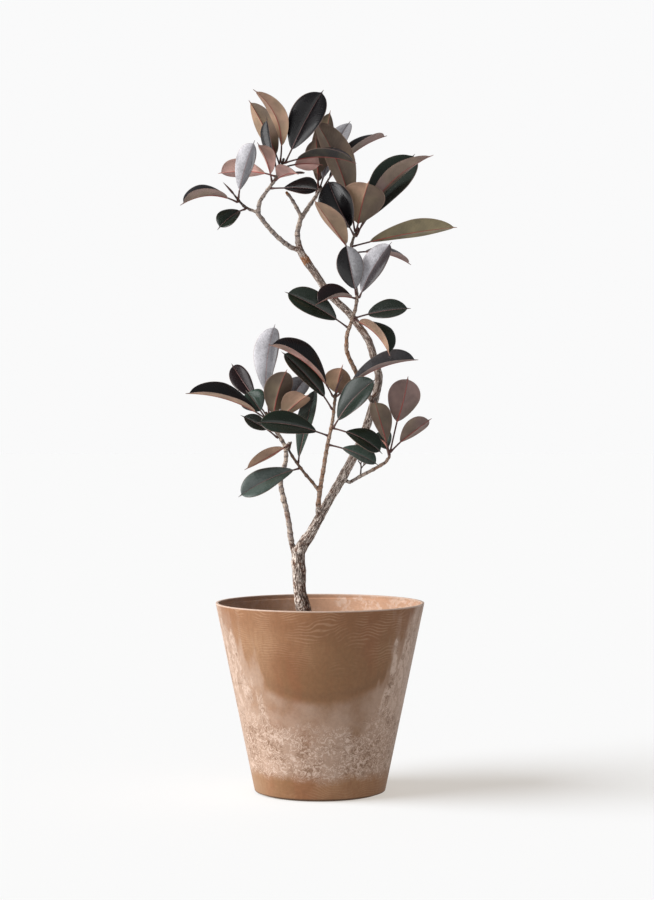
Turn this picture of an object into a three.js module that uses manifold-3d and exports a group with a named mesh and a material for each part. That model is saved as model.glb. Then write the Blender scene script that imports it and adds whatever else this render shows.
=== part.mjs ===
// Potted rubber plant (Ficus elastica): one woody stem with its branches, standing in
// potting soil in a round tapered planter, with a separate solid for every leaf.
// Millimetres, +Z up. The origin is the centre of the planter's flat underside, the
// plant faces -Y and its left is -X.

import * as THREE from "three";
import { mergeVertices } from "three/addons/utils/BufferGeometryUtils.js";
import Module from "manifold-3d";

const wasm = await Module();
wasm.setup();

// ---- Driving dimensions ----

const POT_RIM_D = 330;
const POT_BASE_D = 206;
const POT_HEIGHT = 298;
const POT_WALL = 6;
const POT_FLOOR = 9;
const POT_LIP_DEPTH = 7;
const POT_LIP_LEDGE = 2.5;
const POT_LIP_ROUND = 1.5;
const POT_FOOT_HEIGHT = 2.5;
const POT_FOOT_INSET = 7;
const POT_SIDES = 64;

const SOIL_BELOW_RIM = 48;
const SOIL_CROWN = 6;
const SOIL_CLEARANCE = 0.4;
const SOIL_SIDES = 48;
const SOIL_SHOULDER_OUT = 0.6;
const SOIL_SHOULDER_DROP = SOIL_CROWN / 3;

const CROWN_HEIGHT = 744;
const STEM_THICKNESS = 1;
const STEM_STEP = 16;
const STEM_TIP_ROUND = 0.7;
const STEM_TIP_WIDTH = 0.6;

const LEAF_SIZE = 1;
const LEAF_THICKNESS = 1.3;
const LEAF_RIB = 1.1;
const LEAF_DRIP = 6;
const LEAF_DRIP_WIDTH = 3.2;
const BLADE_FULLNESS = 0.56;
const BLADE_LEAN = 0.1;
const BLADE_MIDDLE = 0.5;
const PETIOLE_D = 3;
const PETIOLE_LENGTH = 20;
const PETIOLE_TAPER = 0.87;
const LEAF_POINT_D = 0.7;
const FOOT_CLEARANCE = 0.7;
const BUD_SIDES = 8;
const BUD_BEND_SHARE = 1 / 3;
const WELD_DISTANCE = 1e-4;

// CROWN_HEIGHT runs from the soil to the highest stem tip. The stems and leaves below are
// laid out for a crown of LAYOUT_CROWN over soil at LAYOUT_SOIL, and grow with CROWN_HEIGHT.
const SOIL_TOP = POT_HEIGHT - SOIL_BELOW_RIM;
const LAYOUT_SOIL = 250;
const LAYOUT_CROWN = 744;
const CROWN_SCALE = CROWN_HEIGHT / LAYOUT_CROWN;
const LEAF_SCALE = LEAF_SIZE * CROWN_SCALE;

// ---- Colours of the pieces ----

const clay = new THREE.MeshStandardMaterial({ color: 0xa27a58, roughness: 0.75, metalness: 0 });
const earth = new THREE.MeshStandardMaterial({ color: 0x3a2a20, roughness: 1, metalness: 0 });
const bark = new THREE.MeshStandardMaterial({ color: 0x7d6a5a, roughness: 0.85, metalness: 0 });
const foliage = new THREE.MeshStandardMaterial({ color: 0x23302a, roughness: 0.3, metalness: 0 });
const sheath = new THREE.MeshStandardMaterial({ color: 0xb0655a, roughness: 0.5, metalness: 0 });

// ---- The woody stem and its branches ----
// Each stem is a curve through [x, y, z, radius]. It starts inside the stem that it grew
// from and ends at its own tip, or at a pruning cut where cut is true.

const STEMS = {
  trunk: {
    sides: 10,
    points: [
      [-20, 0, 195, 14],
      [-22, 0, 250, 13.5],
      [-26, 0, 287, 12],
      [-32, 0, 316, 10],
      [-33, 0, 349, 11],
      [-34, 0, 377, 10.5],
      [-17, 0, 402, 8.2],
      [-3, 0, 428, 7.6],
      [16, 0, 462, 7],
      [36, 2, 496, 7.6],
      [52, 4, 526, 7],
      [66, 6, 554, 6.8],
      [79, 8, 593, 6.6],
      [90, 10, 632, 6.3],
      [93, 11, 656, 6.3],
      [86, 12, 682, 6],
      [77, 12, 711, 5.8],
      [60, 11, 736, 5.8],
      [43, 10, 758, 5.8],
      [16, 8, 783, 5.8],
      [-6, 6, 815, 6],
      [-22, 5, 837, 6.6],
      [-31, 4, 852, 5.6],
      [-35, 4, 869, 4.6],
    ],
  },
  left_stem: {
    sides: 8,
    points: [
      [-33, 0, 352, 5.5],
      [-44, 2, 388, 4.6],
      [-50, 5, 428, 4.2],
      [-57, 8, 460, 4],
      [-63, 10, 488, 4],
      [-54, 13, 521, 3.6],
      [-56, 15, 545, 3.4],
      [-70, 17, 568, 3],
      [-86, 18, 597, 2.4],
    ],
  },
  middle_stem: {
    sides: 8,
    points: [
      [-2, 0, 428, 4.5],
      [-3, -9, 446, 3.9],
      [0, -14, 475, 3.6],
      [6, -20, 512, 3.3],
      [12, -25, 548, 3.1],
      [20, -28, 586, 2.7],
      [24, -30, 626, 2.2],
    ],
  },
  middle_twig: {
    sides: 8,
    points: [
      [0, -14, 472, 2.6],
      [-12, -19, 488, 2.6],
      [-24, -24, 502, 2.5],
      [-42, -30, 527, 2.3],
      [-49, -32, 539, 2.1],
      [-45, -32, 551, 1.8],
    ],
  },
  low_branch: {
    sides: 8,
    points: [
      [36, 2, 492, 3.4],
      [47, 3, 487, 3],
      [66, 5, 498, 2.9],
      [84, 7, 507, 2.8],
      [103, 8, 518, 2.7],
      [110, 8, 527, 2.4],
      [108, 8, 539, 2.1],
    ],
  },
  side_stem: {
    sides: 8,
    points: [
      [84, 8, 612, 4],
      [68, -12, 640, 3.9],
      [54, -22, 666, 3.6],
      [41, -28, 696, 3.2],
      [42, -32, 718, 3],
      [51, -34, 744, 2.9],
      [58, -34, 775, 2.8],
      [52, -26, 815, 2.6],
      [47, -20, 850, 2.6],
      [52, -18, 870, 2.4],
      [60, -18, 887, 2.1],
    ],
  },
  upper_left: {
    sides: 8,
    points: [
      [-32, 4, 854, 4.4],
      [-44, 0, 857, 4],
      [-67, -6, 874, 3.7],
      [-88, -12, 897, 3.6],
      [-97, -15, 909, 3.6],
      [-95, -18, 928, 3.3],
      [-87, -20, 940, 3],
      [-72, -23, 960, 2.6],
      [-62, -25, 978, 2.4],
      [-57, -26, 994, 2.1],
    ],
  },
  upper_left_twig: {
    sides: 8,
    points: [
      [-97, -15, 911, 2.4],
      [-110, -18, 916, 2.3],
      [-119, -20, 921, 2.2],
      [-127, -22, 929, 2.1],
      [-134, -24, 938, 1.8],
    ],
  },
  upper_right: {
    sides: 8,
    points: [
      [-35, 4, 868, 4.4],
      [-36, 6, 882, 4.2],
      [-31, 9, 903, 3.9],
      [-19, 13, 922, 3.4],
      [-6, 17, 941, 2.9],
      [2, 19, 956, 2.2],
    ],
  },
  pruned_stub: {
    sides: 8,
    cut: true,
    points: [
      [-29, 9, 906, 3.2],
      [-39, 6, 925, 2.9],
      [-47, 4, 938, 2.6],
      [-54, 2, 946, 2.4],
    ],
  },
  pruned_knob: {
    sides: 6,
    cut: true,
    points: [
      [-56, 15, 540, 3.4],
      [-48, 10, 550, 2.6],
    ],
  },
};

// ---- The leaves ----
// below  how far under its stem's tip the leaf stands, along the stem
// reach  from the foot of its stalk to the point of the blade
// faces  the way its glossy upper side looks
// width  across the blade, fold  how far each half is raised from flat, in degrees
// bow    how far the midrib arches towards the upper side
// stalk  its length, where it isn't PETIOLE_LENGTH

const LEAVES = {
  upper_left: [
    { below: 2, reach: [59, -6, 111], faces: [-3, -10, 3], width: 56, fold: 12, bow: 3 },
    { below: 4, reach: [-42, -30, 108], faces: [9, 7, 2], width: 42, fold: 14, bow: 22 },
    { below: 22, reach: [-16, 4, 86], faces: [-10, -5, 2], width: 36, fold: 22, bow: 0, stalk: 10 },
    { below: 10, reach: [-50, 39, 107], faces: [4, 10, 5], width: 40, fold: 16, bow: 6 },
    { below: 5, reach: [112, -30, -4], faces: [0, -2, 10], width: 46, fold: 34, bow: 10 },
    { below: 12, reach: [62, 22, 6], faces: [0, 8, 8], width: 40, fold: 20, bow: 6 },
    { below: 30, reach: [-92, 56, 10], faces: [0, 7, 8], width: 42, fold: 20, bow: 8 },
    { below: 38, reach: [-22, -26, 56], faces: [10, 7, 3], width: 38, fold: 20, bow: 4, stalk: 10 },
    { below: 34, reach: [36, -62, 2], faces: [0, 4, 10], width: 46, fold: 16, bow: 6, stalk: 8 },
    { below: 48, reach: [76, -30, -6], faces: [0, -8, 7], width: 38, fold: 16, bow: 2 },
  ],
  upper_left_twig: [
    { below: 6, reach: [27, -42, 84], faces: [-6, -10, 2], width: 38, fold: 12, bow: 6, stalk: 12 },
    { below: 10, reach: [-87, -26, -8], faces: [0, -3, 10], width: 48, fold: 34, bow: 13, stalk: 14 },
    { below: 26, reach: [-42, -16, -34], faces: [-5, -10, 7], width: 38, fold: 12, bow: 6, stalk: 8 },
  ],
  upper_right: [
    { below: 2, reach: [-4, 0, 80], faces: [1, 10, 2], width: 42, fold: 16, bow: 5 },
    { below: 5, reach: [50, 62, 117], faces: [-5, -10, 4], width: 42, fold: 14, bow: 8 },
    { below: 2, reach: [104, 60, 92], faces: [-5, -3, 10], width: 42, fold: 34, bow: 14 },
    { below: 10, reach: [22, 66, 138], faces: [-2, 10, 4], width: 40, fold: 16, bow: 6 },
  ],
  side_stem: [
    { below: 2, reach: [18, -46, 70], faces: [0, 10, 6], width: 68, fold: 12, bow: 6, stalk: 8 },
    { below: 6, reach: [92, 44, 128], faces: [-4, -10, 3], width: 66, fold: 12, bow: 4, stalk: 24 },
    { below: 11, reach: [118, -34, 122], faces: [-6, 5, 7], width: 46, fold: 16, bow: 22, stalk: 36 },
    { below: 5, reach: [-62, -7, 172], faces: [8, 9, 4], width: 62, fold: 14, bow: 16, stalk: 38 },
    { below: 11, reach: [-40, -14, 84], faces: [-5, -10, 4], width: 56, fold: 14, bow: 8, stalk: 10 },
    { below: 30, reach: [162, -18, 28], faces: [-1, 8, 10], width: 44, fold: 20, bow: 5, stalk: 26 },
    { below: 36, reach: [-54, -55, 72], faces: [8, 8, 4], width: 46, fold: 20, bow: 0, stalk: 8 },
    { below: 42, reach: [94, 34, -16], faces: [1, -3, 10], width: 36, fold: 25, bow: 10 },
    { below: 108, reach: [-16, -8, 78], faces: [-1, -10, 2], width: 42, fold: 12, bow: 4, stalk: 6 },
    { below: 113, reach: [50, -12, 84], faces: [-5, -10, 3], width: 44, fold: 12, bow: 6, stalk: 6 },
    { below: 116, reach: [-62, -24, -12], faces: [0, -5, 10], width: 50, fold: 34, bow: 8, stalk: 5 },
    { below: 146, reach: [86, -12, 14], faces: [0, -9, 5], width: 36, fold: 14, bow: 6 },
    { below: 149, reach: [54, -37, -58], faces: [8, -4, 6], width: 56, fold: 34, bow: 8, stalk: 8 },
    { below: 164, reach: [-97, -14, 54], faces: [-3, -9, 6], width: 46, fold: 14, bow: 8 },
  ],
  left_stem: [
    { below: 2, reach: [10, -4, 140], faces: [-6, -10, 1], width: 46, fold: 14, bow: 15, stalk: 30 },
    { below: 5, reach: [-58, 44, 84], faces: [-4, -8, 5], width: 32, fold: 14, bow: 6, stalk: 34 },
    { below: 9, reach: [-126, -30, 40], faces: [2, -4, 10], width: 52, fold: 34, bow: 12 },
    { below: 14, reach: [-36, 8, 50], faces: [-3, -10, 5], width: 42, fold: 14, bow: 6 },
    { below: 16, reach: [24, -46, 80], faces: [-3, 10, 4], width: 46, fold: 16, bow: 6, stalk: 10 },
    { below: 24, reach: [54, -40, 48], faces: [-4, 10, 6], width: 46, fold: 20, bow: 4 },
    { below: 26, reach: [50, 36, 80], faces: [-5, -10, 4], width: 42, fold: 14, bow: 6 },
    { below: 41, reach: [-56, -12, 34], faces: [-3, -9, 7], width: 26, fold: 14, bow: 6 },
  ],
  middle_twig: [
    { below: 38, reach: [26, 78, 116], faces: [-6, -10, 3], width: 34, fold: 16, bow: 6, stalk: 8 },
    { below: 8, reach: [-66, -18, -37], faces: [-1, 6, 8], width: 32, fold: 20, bow: 0, stalk: 6 },
    { below: 46, reach: [-93, -20, -44], faces: [-2, -10, 7], width: 42, fold: 12, bow: 8, stalk: 8 },
  ],
  middle_stem: [
    { below: 3, reach: [-100, -20, 80], faces: [3, -5, 10], width: 60, fold: 32, bow: 16 },
    { below: 2, reach: [126, -8, 56], faces: [-2, -4, 10], width: 50, fold: 32, bow: 14, stalk: 26 },
    { below: 9, reach: [12, 30, 56], faces: [0, 10, 4], width: 44, fold: 16, bow: 4, stalk: 14 },
    { below: 22, reach: [-78, -6, 88], faces: [5, -9, 7], width: 42, fold: 18, bow: 8 },
    { below: 50, reach: [66, -44, 74], faces: [-6, -10, 4], width: 48, fold: 14, bow: 8, stalk: 14 },
    { below: 53, reach: [76, -18, -40], faces: [3, -8, 7], width: 40, fold: 14, bow: 8 },
    { below: 66, reach: [-110, -20, 20], faces: [0, -9, 6], width: 42, fold: 14, bow: 9, stalk: 18 },
    { below: 80, reach: [76, -12, -32], faces: [2, -8, 7], width: 34, fold: 16, bow: 6 },
  ],
  low_branch: [
    { below: 2, reach: [26, -47, 116], faces: [0, 10, 4], width: 52, fold: 16, bow: 4, stalk: 48 },
    { below: 4, reach: [64, -10, 52], faces: [-4, 10, 8], width: 38, fold: 25, bow: 4 },
    { below: 6, reach: [-24, -38, 84], faces: [4, 10, 4], width: 38, fold: 20, bow: 2 },
    { below: 9, reach: [-12, 20, 44], faces: [-3, -10, 3], width: 30, fold: 14, bow: 2, stalk: 10 },
  ],
};

// Young leaves still rolled in their pointed sheaths, at three of the stem tips.
const BUDS = {
  upper_left_twig: { reach: [-17, 0, 19], radius: 1.9 },
  middle_stem: { reach: [14, -4, 31], radius: 1.7 },
  low_branch: { reach: [-12, 2, 14], radius: 2.2 },
};

// ---- Shared shape makers ----

// Closes a row of rings, each with as many points, into one solid with a fan at each end.
function loft(rings) {
  const sides = rings[0].length;
  const first = centre(rings[0]);
  const last = centre(rings[rings.length - 1]);
  const points = [...rings.flat(), first, last];
  const triangles = [];
  for (let row = 0; row < rings.length - 1; row += 1) {
    for (let side = 0; side < sides; side += 1) {
      const a = row * sides + side;
      const b = row * sides + ((side + 1) % sides);
      triangles.push(a, b, a + sides, b, b + sides, a + sides);
    }
  }
  const firstCentre = points.length - 2;
  const lastCentre = points.length - 1;
  const lastRow = (rings.length - 1) * sides;
  for (let side = 0; side < sides; side += 1) {
    const next = (side + 1) % sides;
    triangles.push(firstCentre, next, side);
    triangles.push(lastCentre, lastRow + side, lastRow + next);
  }
  const geometry = new THREE.BufferGeometry().setFromPoints(points);
  geometry.setIndex(triangles);
  return geometry;
}

function centre(ring) {
  const sum = new THREE.Vector3();
  ring.forEach((point) => sum.add(point));
  return sum.divideScalar(ring.length);
}

function solidOf(geometry) {
  const bare = geometry.clone();
  bare.deleteAttribute("normal");
  bare.deleteAttribute("uv");
  const merged = mergeVertices(bare, WELD_DISTANCE);
  const vertProperties = new Float32Array(merged.attributes.position.array);
  const triVerts = new Uint32Array(merged.index.array);
  return new wasm.Manifold(new wasm.Mesh({ numProp: 3, vertProperties, triVerts }));
}

function geometryOf(solid) {
  const mesh = solid.getMesh();
  const geometry = new THREE.BufferGeometry();
  geometry.setAttribute("position", new THREE.BufferAttribute(mesh.vertProperties, 3));
  geometry.setIndex(new THREE.BufferAttribute(mesh.triVerts, 1));
  return geometry;
}

// ---- Planter ----

function potOuterRadius(z) {
  const rise = (z - POT_FOOT_HEIGHT) / (POT_HEIGHT - POT_FOOT_HEIGHT);
  return THREE.MathUtils.lerp(POT_BASE_D, POT_RIM_D, rise) / 2;
}

function potInnerRadius(z) {
  return potOuterRadius(z) - POT_WALL;
}

function potGeometry() {
  const rim = POT_RIM_D / 2;
  const ledge = POT_HEIGHT - POT_LIP_DEPTH;
  const lipInside = potInnerRadius(ledge) + POT_LIP_LEDGE;
  const profile = [
    [0, 0],
    [POT_BASE_D / 2 - POT_FOOT_INSET, 0],
    [POT_BASE_D / 2 - POT_FOOT_INSET, POT_FOOT_HEIGHT],
    [POT_BASE_D / 2 - POT_LIP_ROUND, POT_FOOT_HEIGHT],
    [potOuterRadius(POT_FOOT_HEIGHT + POT_LIP_ROUND), POT_FOOT_HEIGHT + POT_LIP_ROUND],
    [potOuterRadius(POT_HEIGHT - POT_LIP_ROUND), POT_HEIGHT - POT_LIP_ROUND],
    [rim - POT_LIP_ROUND, POT_HEIGHT],
    [lipInside + POT_LIP_ROUND, POT_HEIGHT],
    [lipInside, POT_HEIGHT - POT_LIP_ROUND],
    [lipInside, ledge],
    [potInnerRadius(ledge), ledge],
    [potInnerRadius(POT_FLOOR), POT_FLOOR],
    [0, POT_FLOOR],
  ];
  const outline = profile.map(([r, z]) => new THREE.Vector2(r, z));
  return new THREE.LatheGeometry(outline, POT_SIDES).rotateX(Math.PI / 2);
}

// ---- Stems ----

// Puts a point of the layout over the real soil, and what is under the soil at its depth.
function placed([x, y, z]) {
  const rise = z - LAYOUT_SOIL;
  const height = SOIL_TOP + (rise > 0 ? rise * CROWN_SCALE : rise);
  return new THREE.Vector3(x * CROWN_SCALE, y * CROWN_SCALE, height);
}

function stemCurve(stem) {
  return new THREE.CatmullRomCurve3(stem.points.map(placed), false, "centripetal");
}

function stemRadius(stem, t) {
  const place = t * (stem.points.length - 1);
  const before = Math.min(Math.floor(place), stem.points.length - 2);
  const [from, to] = [stem.points[before][3], stem.points[before + 1][3]];
  return THREE.MathUtils.lerp(from, to, place - before) * STEM_THICKNESS;
}

function circle(middle, along, radius, sides) {
  const across = new THREE.Vector3(0, 1, 0).cross(along).normalize();
  const over = along.clone().cross(across);
  const ring = [];
  for (let side = 0; side < sides; side += 1) {
    const angle = (side / sides) * 2 * Math.PI;
    const point = middle.clone();
    point.addScaledVector(across, radius * Math.cos(angle));
    point.addScaledVector(over, radius * Math.sin(angle));
    ring.push(point);
  }
  return ring;
}

function stemGeometry(stem, extra = 0) {
  const curve = stemCurve(stem);
  const knots = stem.points.length - 1;
  const rings = [];
  const addRing = (t) => {
    const radius = stemRadius(stem, t) + extra;
    rings.push(circle(curve.getPoint(t), curve.getTangent(t), radius, stem.sides));
  };
  for (let knot = 0; knot < knots; knot += 1) {
    const span = curve.getPoint(knot / knots).distanceTo(curve.getPoint((knot + 1) / knots));
    const steps = Math.max(1, Math.round(span / STEM_STEP));
    for (let step = 0; step < steps; step += 1) {
      addRing((knot + step / steps) / knots);
    }
  }
  addRing(1);
  if (!stem.cut) {
    const tip = stemRadius(stem, 1) + extra;
    const along = curve.getTangent(1);
    const end = curve.getPoint(1).addScaledVector(along, tip * STEM_TIP_ROUND);
    rings.push(circle(end, along, tip * STEM_TIP_WIDTH, stem.sides));
  }
  return loft(rings);
}

// ---- Leaves ----

// The shares of the blade's length at which its cross-section is set.
const BLADE_STATIONS = [0.05, 0.15, 0.32, 0.52, 0.72, 0.88, 0.97];

// The six points of a stalk's section, in step with the blade's: edge, top, edge, then below.
const STALK_ANGLES = [180, 90, 0, -45, -90, -135];

// Half of the blade's width at a share of its length, as a share of its widest. The blade
// is a little wider towards its stalk.
function bladeOutline(share) {
  const rounded = (4 * share * (1 - share)) ** BLADE_FULLNESS;
  return rounded * (1 - BLADE_LEAN * (share - BLADE_MIDDLE));
}

function leafGeometry(stem, leaf) {
  const curve = stemCurve(stem);
  const length = curve.getLength();
  const place = 1 - (leaf.below * CROWN_SCALE) / length;
  const stemPoint = curve.getPointAt(place);
  const stemAlong = curve.getTangentAt(place);
  const radius = stemRadius(stem, curve.getUtoTmapping(place));

  const reach = new THREE.Vector3(...leaf.reach).multiplyScalar(LEAF_SCALE);
  const along = reach.clone().normalize();
  const up = new THREE.Vector3(...leaf.faces);
  up.addScaledVector(along, -up.dot(along)).normalize();
  const across = along.clone().cross(up);

  const outward = along.clone().addScaledVector(stemAlong, -along.dot(stemAlong)).normalize();
  const lean = Math.sqrt(1 - outward.dot(along) ** 2);
  const standOff = radius + FOOT_CLEARANCE + (PETIOLE_D / 2) * lean;
  const foot = stemPoint.clone().addScaledVector(outward, standOff);

  const total = reach.length();
  const stalk = leaf.stalk ?? PETIOLE_LENGTH;
  const blade = total - stalk;
  const bow = leaf.bow * LEAF_SCALE;
  const fold = THREE.MathUtils.degToRad(leaf.fold);
  const width = leaf.width * LEAF_SCALE;

  const middleAt = (distance) => {
    const t = distance / total;
    const point = foot.clone().addScaledVector(along, distance);
    return point.addScaledVector(up, 4 * bow * t * (1 - t));
  };
  const upAt = (distance) => {
    const t = distance / total;
    const slope = (4 * bow * (1 - 2 * t)) / total;
    return up.clone().addScaledVector(along, -slope).normalize();
  };

  const rings = [];
  const addStalkRing = (distance, stalkRadius) => {
    const middle = middleAt(distance);
    const over = upAt(distance);
    rings.push(STALK_ANGLES.map((degrees) => {
      const angle = THREE.MathUtils.degToRad(degrees);
      const point = middle.clone().addScaledVector(across, stalkRadius * Math.cos(angle));
      return point.addScaledVector(over, stalkRadius * Math.sin(angle));
    }));
  };
  const addBladeRing = (distance, half, rib) => {
    const middle = middleAt(distance);
    const over = upAt(distance);
    const edge = (side, share, drop) => {
      const point = middle.clone();
      point.addScaledVector(across, side * share * half * Math.cos(fold) + side * drop * Math.sin(fold));
      return point.addScaledVector(over, share * half * Math.sin(fold) - drop * Math.cos(fold));
    };
    rings.push([
      edge(-1, 1, 0),
      middle.clone().addScaledVector(over, LEAF_THICKNESS / 2),
      edge(1, 1, 0),
      edge(1, BLADE_MIDDLE, LEAF_THICKNESS / 2),
      middle.clone().addScaledVector(over, -LEAF_THICKNESS / 2 - rib),
      edge(-1, BLADE_MIDDLE, LEAF_THICKNESS / 2),
    ]);
  };

  addStalkRing(0, PETIOLE_D / 2);
  addStalkRing(stalk, (PETIOLE_D / 2) * PETIOLE_TAPER);
  const body = blade - LEAF_DRIP;
  for (const share of BLADE_STATIONS) {
    addBladeRing(stalk + body * share, (width / 2) * bladeOutline(share), LEAF_RIB * (1 - share));
  }
  addBladeRing(stalk + body, LEAF_DRIP_WIDTH / 2, 0);
  addStalkRing(total, LEAF_POINT_D / 2);
  return loft(rings);
}

// ---- Buds ----

// A bud's girth: at each share of its length, the radius as a share of its widest.
const BUD_GIRTH = [[0, 0.62], [0.2, 1], [0.5, 0.92], [0.8, 0.5], [1, 0.12]];

function budGeometry(stem, bud) {
  const curve = stemCurve(stem);
  const along = curve.getTangent(1);
  const start = curve.getPoint(1);
  start.addScaledVector(along, stemRadius(stem, 1) * STEM_TIP_ROUND + FOOT_CLEARANCE);
  const reach = new THREE.Vector3(...bud.reach).multiplyScalar(LEAF_SCALE);
  const end = start.clone().add(reach);
  const bend = start.clone().addScaledVector(along, reach.length() * BUD_BEND_SHARE);
  const spine = new THREE.QuadraticBezierCurve3(start, bend, end);
  const rings = BUD_GIRTH.map(([t, share]) => circle(
    spine.getPoint(t),
    spine.getTangent(t),
    share * bud.radius * LEAF_SCALE,
    BUD_SIDES,
  ));
  return loft(rings);
}

// ---- The plant in its pot ----

const plant = new THREE.Group();

function add(name, geometry, material) {
  const mesh = new THREE.Mesh(geometry, material);
  mesh.name = name;
  plant.add(mesh);
}

add("planter", potGeometry(), clay);

const stems = Object.values(STEMS).map((stem) => solidOf(stemGeometry(stem)));
const wood = stems.reduce((joined, stem) => joined.add(stem));
add("woody_stem", geometryOf(wood), bark);

const soilBottom = POT_FLOOR + SOIL_CLEARANCE;
const soilOutline = [
  [0, soilBottom],
  [potInnerRadius(soilBottom) - SOIL_CLEARANCE, soilBottom],
  [potInnerRadius(SOIL_TOP - SOIL_CROWN) - SOIL_CLEARANCE, SOIL_TOP - SOIL_CROWN],
  [potInnerRadius(SOIL_TOP) * SOIL_SHOULDER_OUT, SOIL_TOP - SOIL_SHOULDER_DROP],
  [0, SOIL_TOP],
].map(([r, z]) => new THREE.Vector2(r, z));
const soilRound = new THREE.LatheGeometry(soilOutline, SOIL_SIDES).rotateX(Math.PI / 2);
const socket = solidOf(stemGeometry(STEMS.trunk, SOIL_CLEARANCE));
add("potting_soil", geometryOf(solidOf(soilRound).subtract(socket)), earth);

for (const [stemName, leaves] of Object.entries(LEAVES)) {
  leaves.forEach((leaf, index) => {
    const name = `leaf_${stemName}_${index + 1}`;
    add(name, leafGeometry(STEMS[stemName], leaf), foliage);
  });
}

for (const [stemName, bud] of Object.entries(BUDS)) {
  add(`bud_${stemName}`, budGeometry(STEMS[stemName], bud), sheath);
}

export default plant;
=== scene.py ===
# A potted rubber plant: a crooked woody stem with dark leathery leaves, planted in a
# round tapered pot. Metres, +Z up; the plant faces -Y and its left is -X.

import heapq
import math
import random

import bmesh
import bpy
import numpy as np
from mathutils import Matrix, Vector, noise


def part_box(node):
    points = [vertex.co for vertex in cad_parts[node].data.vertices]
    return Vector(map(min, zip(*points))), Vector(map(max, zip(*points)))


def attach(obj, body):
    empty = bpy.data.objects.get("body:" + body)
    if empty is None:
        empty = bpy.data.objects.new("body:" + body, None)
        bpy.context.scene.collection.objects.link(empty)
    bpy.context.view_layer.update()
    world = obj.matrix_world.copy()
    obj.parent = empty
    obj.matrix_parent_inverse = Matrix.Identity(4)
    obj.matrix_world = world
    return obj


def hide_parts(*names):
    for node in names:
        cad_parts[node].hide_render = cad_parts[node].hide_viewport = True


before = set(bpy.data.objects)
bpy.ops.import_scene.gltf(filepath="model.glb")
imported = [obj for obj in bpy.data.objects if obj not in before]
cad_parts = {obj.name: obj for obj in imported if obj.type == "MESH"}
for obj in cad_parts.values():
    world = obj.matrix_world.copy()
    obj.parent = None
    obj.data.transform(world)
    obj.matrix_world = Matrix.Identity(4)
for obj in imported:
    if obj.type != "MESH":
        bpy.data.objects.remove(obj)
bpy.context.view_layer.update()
bpy.ops.object.select_all(action="DESELECT")


# ---- Camera ----
# A long lens held level, a little over half way up the plant and straight in front of it.
# It is shifted a little and not tilted, so upright lines stay upright.

CAMERA_PLACE = (0.011, -3.5, 0.595)
CAMERA_LENS = 88.7
CAMERA_SHIFT = -0.04
camera_data = bpy.data.cameras.new("camera")
camera_data.lens = CAMERA_LENS
camera_data.shift_y = CAMERA_SHIFT
camera_data.clip_start = 0.1
camera_data.clip_end = 100
camera = bpy.data.objects.new("camera", camera_data)
camera.location = CAMERA_PLACE
camera.rotation_euler = (math.radians(90), 0, 0)
bpy.context.scene.collection.objects.link(camera)
bpy.context.scene.camera = camera


# ---- Planter ----
# A tapered pot moulded from stone powder and resin, with a small ledge inside its rim. The
# mix is poured in two tones: a smooth brown body carries milky swirls over a plain foot band.

planter_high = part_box("planter")[1]
POT_RIM = planter_high.x
POT_TOP = planter_high.z
POT_BASE = 0.103
POT_WALL = 0.006
POT_FLOOR = 0.009
POT_LIP = 0.007
POT_LEDGE = 0.0025
POT_FOOT_RISE = 0.0025
POT_FOOT_INSET = 0.007
POT_SIDES = 160
POT_WALL_RINGS = 14
POT_EDGE_ROUND = 0.0011


def pot_radius(height):
    """The outer wall's radius at a height."""
    rise = (height - POT_FOOT_RISE) / (POT_TOP - POT_FOOT_RISE)
    return POT_BASE + (POT_RIM - POT_BASE) * rise


def pick(piece):
    """Selects one piece and nothing else."""
    bpy.ops.object.select_all(action="DESELECT")
    piece.select_set(True)
    bpy.context.view_layer.objects.active = piece


def turn_pot(name, profile, sides):
    """Draws a round shape up from its middle, ring by ring, as on a wheel."""
    bpy.ops.object.select_all(action="DESELECT")
    radius, height = profile[0]
    bpy.ops.mesh.primitive_circle_add(
        vertices=sides, radius=radius, fill_type="NGON", location=(0, 0, height)
    )
    turned = bpy.context.object
    turned.name = name
    bpy.ops.object.transform_apply(location=True, rotation=True, scale=True)
    bpy.ops.object.mode_set(mode="EDIT")
    bpy.ops.mesh.select_mode(type="EDGE")
    bpy.ops.mesh.select_all(action="DESELECT")
    bpy.ops.mesh.select_non_manifold()
    for next_radius, next_height in profile[1:]:
        bpy.ops.mesh.extrude_region_move(
            TRANSFORM_OT_translate={"value": (0, 0, next_height - height)}
        )
        grow = next_radius / radius
        bpy.ops.transform.resize(
            value=(grow, grow, 1), center_override=(0, 0, next_height)
        )
        radius, height = next_radius, next_height
    bpy.ops.mesh.edge_face_add()
    bpy.ops.mesh.select_all(action="SELECT")
    bpy.ops.mesh.normals_make_consistent(inside=False)
    bpy.ops.object.mode_set(mode="OBJECT")
    return turned


def use_modifier(piece, kind, **settings):
    """Puts a modifier on a piece, sets it and applies it."""
    bpy.context.view_layer.objects.active = piece
    modifier = piece.modifiers.new(kind.lower(), kind)
    for setting, value in settings.items():
        setattr(modifier, setting, value)
    bpy.ops.object.modifier_apply(modifier=modifier.name)


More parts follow.
